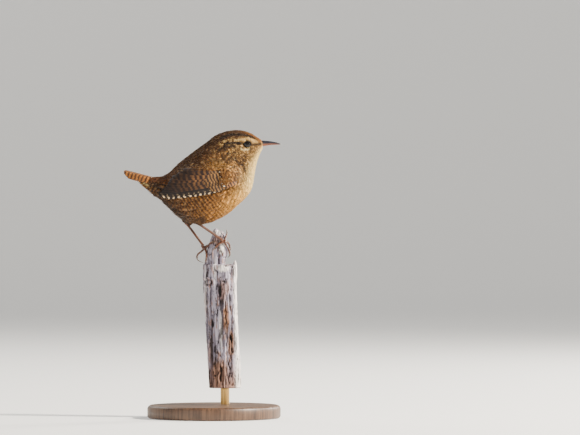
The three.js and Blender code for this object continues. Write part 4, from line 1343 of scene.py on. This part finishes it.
def leg_pieces(name):
    """Shank and foot as one scaled leg, its four claws, and the feathers of the thigh."""
    heel, hip = LEGS[name]
    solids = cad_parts
    foot_co, shank_co = corners_of(f"foot_{name}"), corners_of(f"shank_{name}")
    shank_end = shank_co[shank_co[:, 2] < shank_co[:, 2].min() + 0.4].mean(axis=0)
    way = unit(shank_end - heel)
    bridge = rod_between(shank_end - way * 0.8, shank_end + way * 1.2, 0.85, 0.95)
    sources = [solids[f"shank_{name}"].data, solids[f"foot_{name}"].data, bridge]
    co, normals, faces = remade(f"leg_{name}", sources, LEG_GRAIN, 4)
    ankle = shank_end + way
    up_leg = np.clip((co - ankle) @ -way, 0, None)
    along = np.where(up_leg > 1.2, up_leg, np.linalg.norm(co - ankle, axis=1))
    scales = np.abs(np.sin(along * math.pi / SCALE_STEP)) ** 0.45
    co = co + normals * ((scales - 0.8) * SCALE_HEIGHT)[:, None]
    finish_piece(mesh_piece(f"leg_{name}", co, faces), LEG, "leg", f"shank_{name}", f"foot_{name}")
    for i in range(1, 5):
        node = f"claw_{name}_{i}"
        claw_co = corners_of(node)
        away = np.linalg.norm(claw_co[:, None] - foot_co[None], axis=-1)
        base = claw_co[away.min(axis=1) < away.min() + 0.3].mean(axis=0)
        toe_end = foot_co[away.min(axis=0) < away.min() + 0.3].mean(axis=0)
        step = unit(base - toe_end) * 0.3
        plug = rod_between(toe_end - step, base + step, 0.47, 0.42)
        co, _, faces = remade(node, [solids[node].data, plug], CLAW_GRAIN, 5)
        finish_piece(mesh_piece(f"nail_{name}_{i}", co, faces), CLAW, "claw", node)
    thigh_feathers(name, heel, hip)


THIGH_TONES = [(0, linear(108, 74, 40)), (0.5, linear(80, 54, 32)), (1, linear(62, 42, 27))]
THIGH_RADIUS = ([0, 0.25, 0.6, 1], [4.8, 4.6, 3.2, 1.7])
THIGH_LENGTHS = ([0, 0.6, 1], [4.2, 3.4, 1.8])
THIGH_BARRING = 0.8
THIGH_SKIN_DEPTH = 0.45
THIGH_ROWS = 40
THIGH_COLUMNS = 49
THIGH_ROW_STEP = 0.035
THIGH_GAP = 0.95


def thigh_feathers(name, heel, hip):
    """The feathered upper leg: a tapering face and the small feathers on it."""
    t = np.linspace(0, 1, THIGH_ROWS)
    ends = [hip + (hip - heel) * 0.2, hip, hip + (heel - hip) * 0.55, heel, heel + (heel - hip) * 0.03]
    line = through(ends, t)
    radius = np.interp(t, *THIGH_RADIUS)
    way = unit(np.gradient(line, axis=0))
    beside = unit(np.cross(way, [0.0, 1.0, 0.0]))
    other = np.cross(way, beside)
    angle = np.linspace(0, 2 * math.pi, THIGH_COLUMNS)[None, :, None]
    spokes = beside[:, None, :] * np.cos(angle) + other[:, None, :] * np.sin(angle)
    face = Face(line[:, None, :] + radius[:, None, None] * spokes, closed=True, outward=-1)
    u, v = [], []
    for row, at in enumerate(np.arange(0.02, 0.9, THIGH_ROW_STEP)):
        count = int(2 * math.pi * np.interp(at, t, radius) / THIGH_GAP)
        v.append(staggered(count, row))
        u.append(at + chance.uniform(-0.012, 0.012, count))
    u, v = np.concatenate(u), np.mod(np.concatenate(v), 1)
    many = len(u)
    length = np.interp(u, *THIGH_LENGTHS) * chance.uniform(0.85, 1.15, many)
    length = np.minimum(length, (1.04 - u) * 16)
    marks = (ramp(THIGH_TONES, u), np.full(many, THIGH_BARRING), np.zeros(many))
    luck = chance.uniform(0, 1, many)
    lift = chance.uniform(-0.1, 0.12, many)
    turn = chance.uniform(-0.15, 0.15, many)
    batch = Batch()
    roots = (u, v, length, length * 0.5, turn, np.full(many, 0.5), lift, marks)
    feathered(batch, face, STRANDS_THIGH, roots, luck, 1)
    batch.piece(f"thigh_coat_{name}", PLUMAGE, "plumage")
    skin = face.places[:, :-1] - face.normals[:, :-1] * THIGH_SKIN_DEPTH
    finish_piece(ringed(f"thigh_skin_{name}", skin), THIGH_SKIN, "plumage")


# The stake's marks on the side in view: places (x, z) in side view, reach (x, z), and depth
STAKE_MARKS = [
    (8.6, 83.6, 1.4, 1.0, 1.6), (6.4, 82.2, 1.0, 0.8, 1.2), (10.3, 81.6, 0.9, 0.9, 1.3),
    (3.4, 69.5, 1.1, 6.0, 1.4), (5.2, 73.8, 1.7, 0.9, 1.0), (1.4, 71.0, 0.7, 3.0, 0.8),
    (-0.9, 51.0, 0.8, 3.4, 1.5), (9.6, 42.5, 1.2, 2.8, 1.8), (10.4, 37.0, 0.7, 2.2, 1.2),
    (-2.6, 44.0, 0.6, 11.0, 1.1), (-4.0, 56.0, 0.4, 7.0, 0.8), (3.8, 24.5, 0.7, 7.5, 1.3),
    (0.6, 33.0, 0.4, 9.0, 0.9), (6.4, 60.0, 0.35, 8.0, 0.7), (1.6, 58.0, 0.35, 9.0, 0.7),
    (8.4, 30.0, 0.4, 8.0, 0.9), (4.2, 89.0, 0.5, 3.0, 0.9), (1.0, 93.0, 0.4, 2.5, 0.7),
    (11.2, 62.0, 0.3, 12.0, 0.6),
]
KNOT = (-3.2, 73.4, 3.1, 2.4)

# Lengthwise ridges round the stake: how many, their phase and height
STAKE_RIDGES = ((17, 0.4, 0.1), (31, 1.7, 0.1), (53, 2.6, 0.07))
STAKE_MIDDLE_X = 4.5

# Where the grey has worn off to brown, and where the wood is bleached pale, the first two pale strips being
# painted light along the lit right edge: places, reach and strength
BROWN_PATCHES = [
    (6.6, 54.0, 2.0, 9.0, 0.95), (9.5, 40.0, 2.2, 8.0, 0.85), (4.5, 68.5, 2.4, 7.0, 0.6),
    (3.0, 24.0, 6.0, 9.0, 0.8), (8.0, 84.0, 2.5, 1.6, 0.7), (2.0, 95.5, 2.6, 3.0, 0.55),
    (-2.0, 36.0, 1.5, 8.0, 0.5), (7.5, 70.5, 1.2, 4.5, 0.5),
]
BLEACH_AND_LIGHT_PATCHES = [
    (12.6, 62.0, 1.5, 30.0, 1.0), (11.2, 87.0, 1.4, 4.0, 1.0), (5.0, 81.0, 4.0, 2.0, 0.9),
    (4.4, 92.5, 1.8, 5.0, 0.9), (1.6, 100.0, 3.2, 1.6, 0.8), (0.5, 80.0, 1.0, 7.0, 0.6),
    (-4.8, 66.0, 0.9, 16.0, 0.5), (3.8, 48.0, 1.0, 12.0, 0.5),
]


def patches(rows, x, z, jitter):
    total = np.zeros(len(x))
    for px, pz, wide, high, strength in rows:
        away = np.hypot((x - px) / wide, (z - pz) / high) + 0.35 * jitter
        total = np.maximum(total, strength * (1 - soft(away, 0.55, 1.15)))
    return total


def rippled(co, across, up, shift=0):
    """Smooth noise in the wood, stretched up it."""
    return np.array([noise.noise(Vector((x * across + shift, y * across, z * up))) for x, y, z in co])


def stake_piece():
    """The stake with ridges, cracks, splits and a knot, its painted shade in the grooves, how brown it is,
    and its bleaching with painted light along the lit right edge.
    """
    co, normals, faces = remade("stake_fine", [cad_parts["stake"].data], STAKE_GRAIN, 3)
    x, y, z = co.T
    angle = np.arctan2(y, x - STAKE_MIDDLE_X)
    flow = 1.4 * np.exp(-np.hypot((x - KNOT[0]) / 5, (z - KNOT[1]) / 6) ** 2)
    ridges = np.zeros(len(co))
    for count, phase, size in STAKE_RIDGES:
        ridges += size * np.sin(angle * count + phase + flow * 4 + 1.2 * np.sin(z / 7.0 + count))
    wander, second, rough = rippled(co, 0.55, 0.07), rippled(co, 0.9, 0.1, 31), rippled(co, 1.1, 0.3, 9)
    crack = np.maximum(1 - soft(np.abs(wander), 0.015, 0.085), 0.7 * (1 - soft(np.abs(second), 0.01, 0.06)))
    push = ridges * 0.9 - 0.75 * crack + 0.2 * rough - 0.1
    facing = soft(-y, -1.0, 2.0)
    sway = 0.35 * np.sin(z * 0.8)
    for mx, mz, wide, high, deep in STAKE_MARKS:
        reach = np.hypot((x - mx - sway) / wide, (z - mz) / high) + 0.4 * rough
        push -= deep * (1 - soft(reach, 0.3, 1.0)) * facing
    ring = np.hypot((x - KNOT[0]) / KNOT[2], (z - KNOT[1]) / KNOT[3]) + 0.15 * rough
    push += facing * (0.5 * np.exp(-((ring - 1) / 0.2) ** 2) - 0.8 * np.exp(-((ring - 0.62) / 0.16) ** 2))
    push *= soft(z, 16.4, 18.5)
    # painted shade: the deeper a place is pushed in, the darker it is painted
    groove_shade = soft(-push - ridges * 0.4, 0.28, 1.0) * 0.95
    brown = patches(BROWN_PATCHES, x, z, rough + 0.5 * ridges) * facing
    brown = np.maximum(brown, 0.6 * soft(rough + 0.4 * wander, 0.18, 0.45))
    brown = np.maximum(brown, 0.75 * (1 - soft(z, 17, 34)))
    bleach_and_light = patches(BLEACH_AND_LIGHT_PATCHES, x, z, rough)
    # painted light: paler towards the right edge, the side the key lamp lights
    bleach_and_light = np.maximum(bleach_and_light, soft(x - 0.08 * (16 - z / 6), 9.5, 12.5))
    piece = mesh_piece("stake_wood", co + normals * push[:, None], faces,
                       {"groove_shade": groove_shade, "brown": brown, "bleach_and_light": bleach_and_light})
    return finish_piece(piece, STAKE_WOOD, "stake_wood", "stake")


def spun(profile, steps):
    """A shape turned about the upright axis from a profile of (radius, height) in metres."""
    bm = bmesh.new()
    points = [bm.verts.new((r, 0, h)) for r, h in profile]
    edges = [bm.edges.new(pair) for pair in zip(points[:-1], points[1:])]
    bmesh.ops.spin(bm, geom=points + edges, cent=(0, 0, 0), axis=(0, 0, 1), angle=2 * math.pi, steps=steps,
                   use_merge=True)
    bmesh.ops.remove_doubles(bm, verts=bm.verts, dist=SAME_PLACE)
    bmesh.ops.recalc_face_normals(bm, faces=bm.faces)
    return bm


# Profiles of the stand's base and rod: radius and height in millimetres
BASE_PROFILE = [(0, 0), (34.9, 0), (35.7, 0.5), (36.0, 1.2), (36.0, 5.4), (35.6, 6.3), (34.6, 7.0), (0, 7.0)]
ROD_PROFILE = [(0, 7.3), (2.4, 7.3), (2.4, 16.0), (0, 16.0)]
STAND_EDGE = math.radians(24)
STAND_STEPS = 128


def stand_piece(name, profile, material, slot):
    bm = spun([(r * MM, h * MM) for r, h in profile], STAND_STEPS)
    co = corners_of(name) * MM
    middle = (co.min(axis=0) + co.max(axis=0)) / 2
    bmesh.ops.translate(bm, verts=bm.verts, vec=(middle[0], middle[1], 0))
    piece = smooth_piece(name + "_fine", bm)
    piece.data.set_sharp_from_angle(angle=STAND_EDGE)
    finish_piece(piece, material, slot, name)


PLUMAGE = plumage_material()
THIGH_SKIN = plain_material("thigh_skin", linear(70, 50, 34), 0.8)
FLIGHT = {
    "primary": flight_material(
        "primary_feathers", linear(240, 206, 158), linear(26, 18, 16), period=2.9, slant=-0.3, bias=0.5,
        edge=0.5, jitter=0.5, dotted=True),
    "secondary": flight_material(
        "secondary_feathers", linear(112, 74, 40), linear(34, 22, 18), period=2.9, slant=-0.3, bias=0.15,
        edge=0.9, jitter=0.6, waver=1.0),
    "covert": flight_material(
        "covert_feathers", linear(122, 86, 46), linear(38, 26, 19), period=1.7, slant=-0.2, bias=0.1,
        edge=0.8, jitter=0.7, waver=0.9),
    "small_covert": flight_material(
        "small_covert_feathers", linear(130, 84, 44), linear(36, 24, 17), period=1.6, slant=-0.2, bias=0.1,
        edge=0.6, tip=linear(250, 236, 210)),
    "tail": flight_material(
        "tail_plumes", linear(150, 94, 40), linear(54, 32, 18), period=1.9, slant=0.4, bias=-0.1, edge=0.6),
}
BILL_TOP = plain_material("bill_top", linear(30, 29, 38), 0.32, 0.25, 500.0, 0.00003, coat=0.2)
BILL_LOW = plain_material("bill_low", linear(104, 50, 16), 0.4, 0.3, 420.0, 0.00003, coat=0.2)
EYE = plain_material("eye", linear(12, 7, 5), 0.05, 0.1, 300.0, specular=0.32)
LID = plain_material("eyelid", linear(24, 18, 13), 0.85, 0.4, 1800.0, 0.00004)
LEG = plain_material("leg_skin", linear(76, 38, 15), 0.4, 0.35, 700.0, 0.00006, coat=0.1)
CLAW = plain_material("claw", linear(96, 72, 56), 0.3, 0.3, 700.0, coat=0.2)
STAKE_WOOD = wood_material("stake_wood", linear(164, 156, 170), linear(74, 66, 80), linear(32, 24, 22),
                           0.88, 0.0003, weathered=True)
BASE_WOOD = wood_material("base_wood", linear(96, 70, 50), linear(70, 48, 34), linear(52, 36, 26),
                          0.45, 0.00004)
ROD = plain_material("rod_metal", linear(176, 140, 84), 0.3, 0.06, 300.0, metal=1.0)

skin_piece()
body_coat()
for side in SIDE_NAMES:
    wing_pieces(side)
    cover_pieces(side)
    eye_pieces(side)
tail_piece()
bill_half("upper_bill", 1, 1.8, 1.45, 0.25, BILL_TOP, "bill_upper")
bill_half("lower_bill", -1, 1.35, 1.35, 0.15, BILL_LOW, "bill_lower")
for name in LEGS:
    leg_pieces(name)
stake_piece()
stand_piece("stand_base", BASE_PROFILE, BASE_WOOD, "stand_wood")
stand_piece("stand_rod", ROD_PROFILE, ROD, "stand_rod")


# Floor, light and camera

FLOOR_FLAT = 2.4
FLOOR_END = 4.0
FLOOR_STEPS = 72
FLOOR_COLOUR = (0.72, 0.71, 0.69, 1)
FLOOR_GLOW = (1.0, 0.98, 0.94, 1)
FLOOR_GLOW_STRENGTH = 0.36
WALL_BEND = 1.1
WALL_TOP = 1.5
SKY_COLOUR = (0.8, 0.86, 0.92, 1)
SKY_STRENGTH = 0.2
TARGET = (0.0, 0.0, 0.12)

# Lamps: place, power, size and colour
LAMPS = {
    "key": ((1.05, -0.34, 0.78), 74, 0.13, (1.0, 0.93, 0.82)),
    "fill": ((-1.3, -1.6, 0.5), 8, 1.2, (0.9, 0.95, 1.0)),
    "rim": ((0.9, 0.75, 0.5), 26, 0.3, (1.0, 0.95, 0.86)),
    "back": ((-0.9, 1.0, 0.9), 12, 0.6, (1.0, 0.97, 0.92)),
}


def stage_pieces():
    """A round floor that bends up into a low wall."""
    profile = [(0.0, 0.0), (1.0, 0.0), (FLOOR_FLAT, 0.0)]
    profile += [(FLOOR_END - WALL_BEND * (1 - math.sin(a)), WALL_BEND * (1 - math.cos(a)))
                for a in np.linspace(0, math.pi / 2, 14)]
    profile += [(FLOOR_END, WALL_TOP)]
    bm = spun(profile, FLOOR_STEPS)
    if sum(f.normal.z for f in bm.faces) < 0:
        bmesh.ops.reverse_faces(bm, faces=bm.faces)
    floor = smooth_piece("floor", bm)
    made, _, shader = blank("floor")
    shader.inputs["Base Color"].default_value = FLOOR_COLOUR
    shader.inputs["Roughness"].default_value = 0.85
    shader.inputs["Emission Color"].default_value = FLOOR_GLOW
    shader.inputs["Emission Strength"].default_value = FLOOR_GLOW_STRENGTH
    floor.data.materials.append(made)


def lamp(name, place, power, size, colour):
    light = bpy.data.lights.new(name, "AREA")
    light.energy, light.size, light.color = power, size, colour
    made = placed(name, light)
    made.location = place
    made.rotation_euler = (Vector(TARGET) - Vector(place)).to_track_quat("-Z", "Y").to_euler()


stage_pieces()
for name, made_as in LAMPS.items():
    lamp(name, *made_as)
world = bpy.data.worlds.new("soft")
world.use_nodes = True
sky = world.node_tree.nodes["Background"]
sky.inputs["Color"].default_value = SKY_COLOUR
sky.inputs["Strength"].default_value = SKY_STRENGTH
bpy.context.scene.world = world

view = bpy.data.cameras.new("camera")
view.sensor_width = SENSOR_WIDTH
wide = PHOTO_SIZE[0] * MM_PER_PIXEL * MM
view.lens = SENSOR_WIDTH * CAMERA_DISTANCE / wide
camera = placed("camera", view)
camera.location = ((PHOTO_SIZE[0] / 2 - FOOT_PIXEL[0]) * MM_PER_PIXEL * MM, -CAMERA_DISTANCE,
                   (FOOT_PIXEL[1] - PHOTO_SIZE[1] / 2) * MM_PER_PIXEL * MM)
camera.rotation_euler = (math.pi / 2, 0, 0)
bpy.context.scene.camera = camera
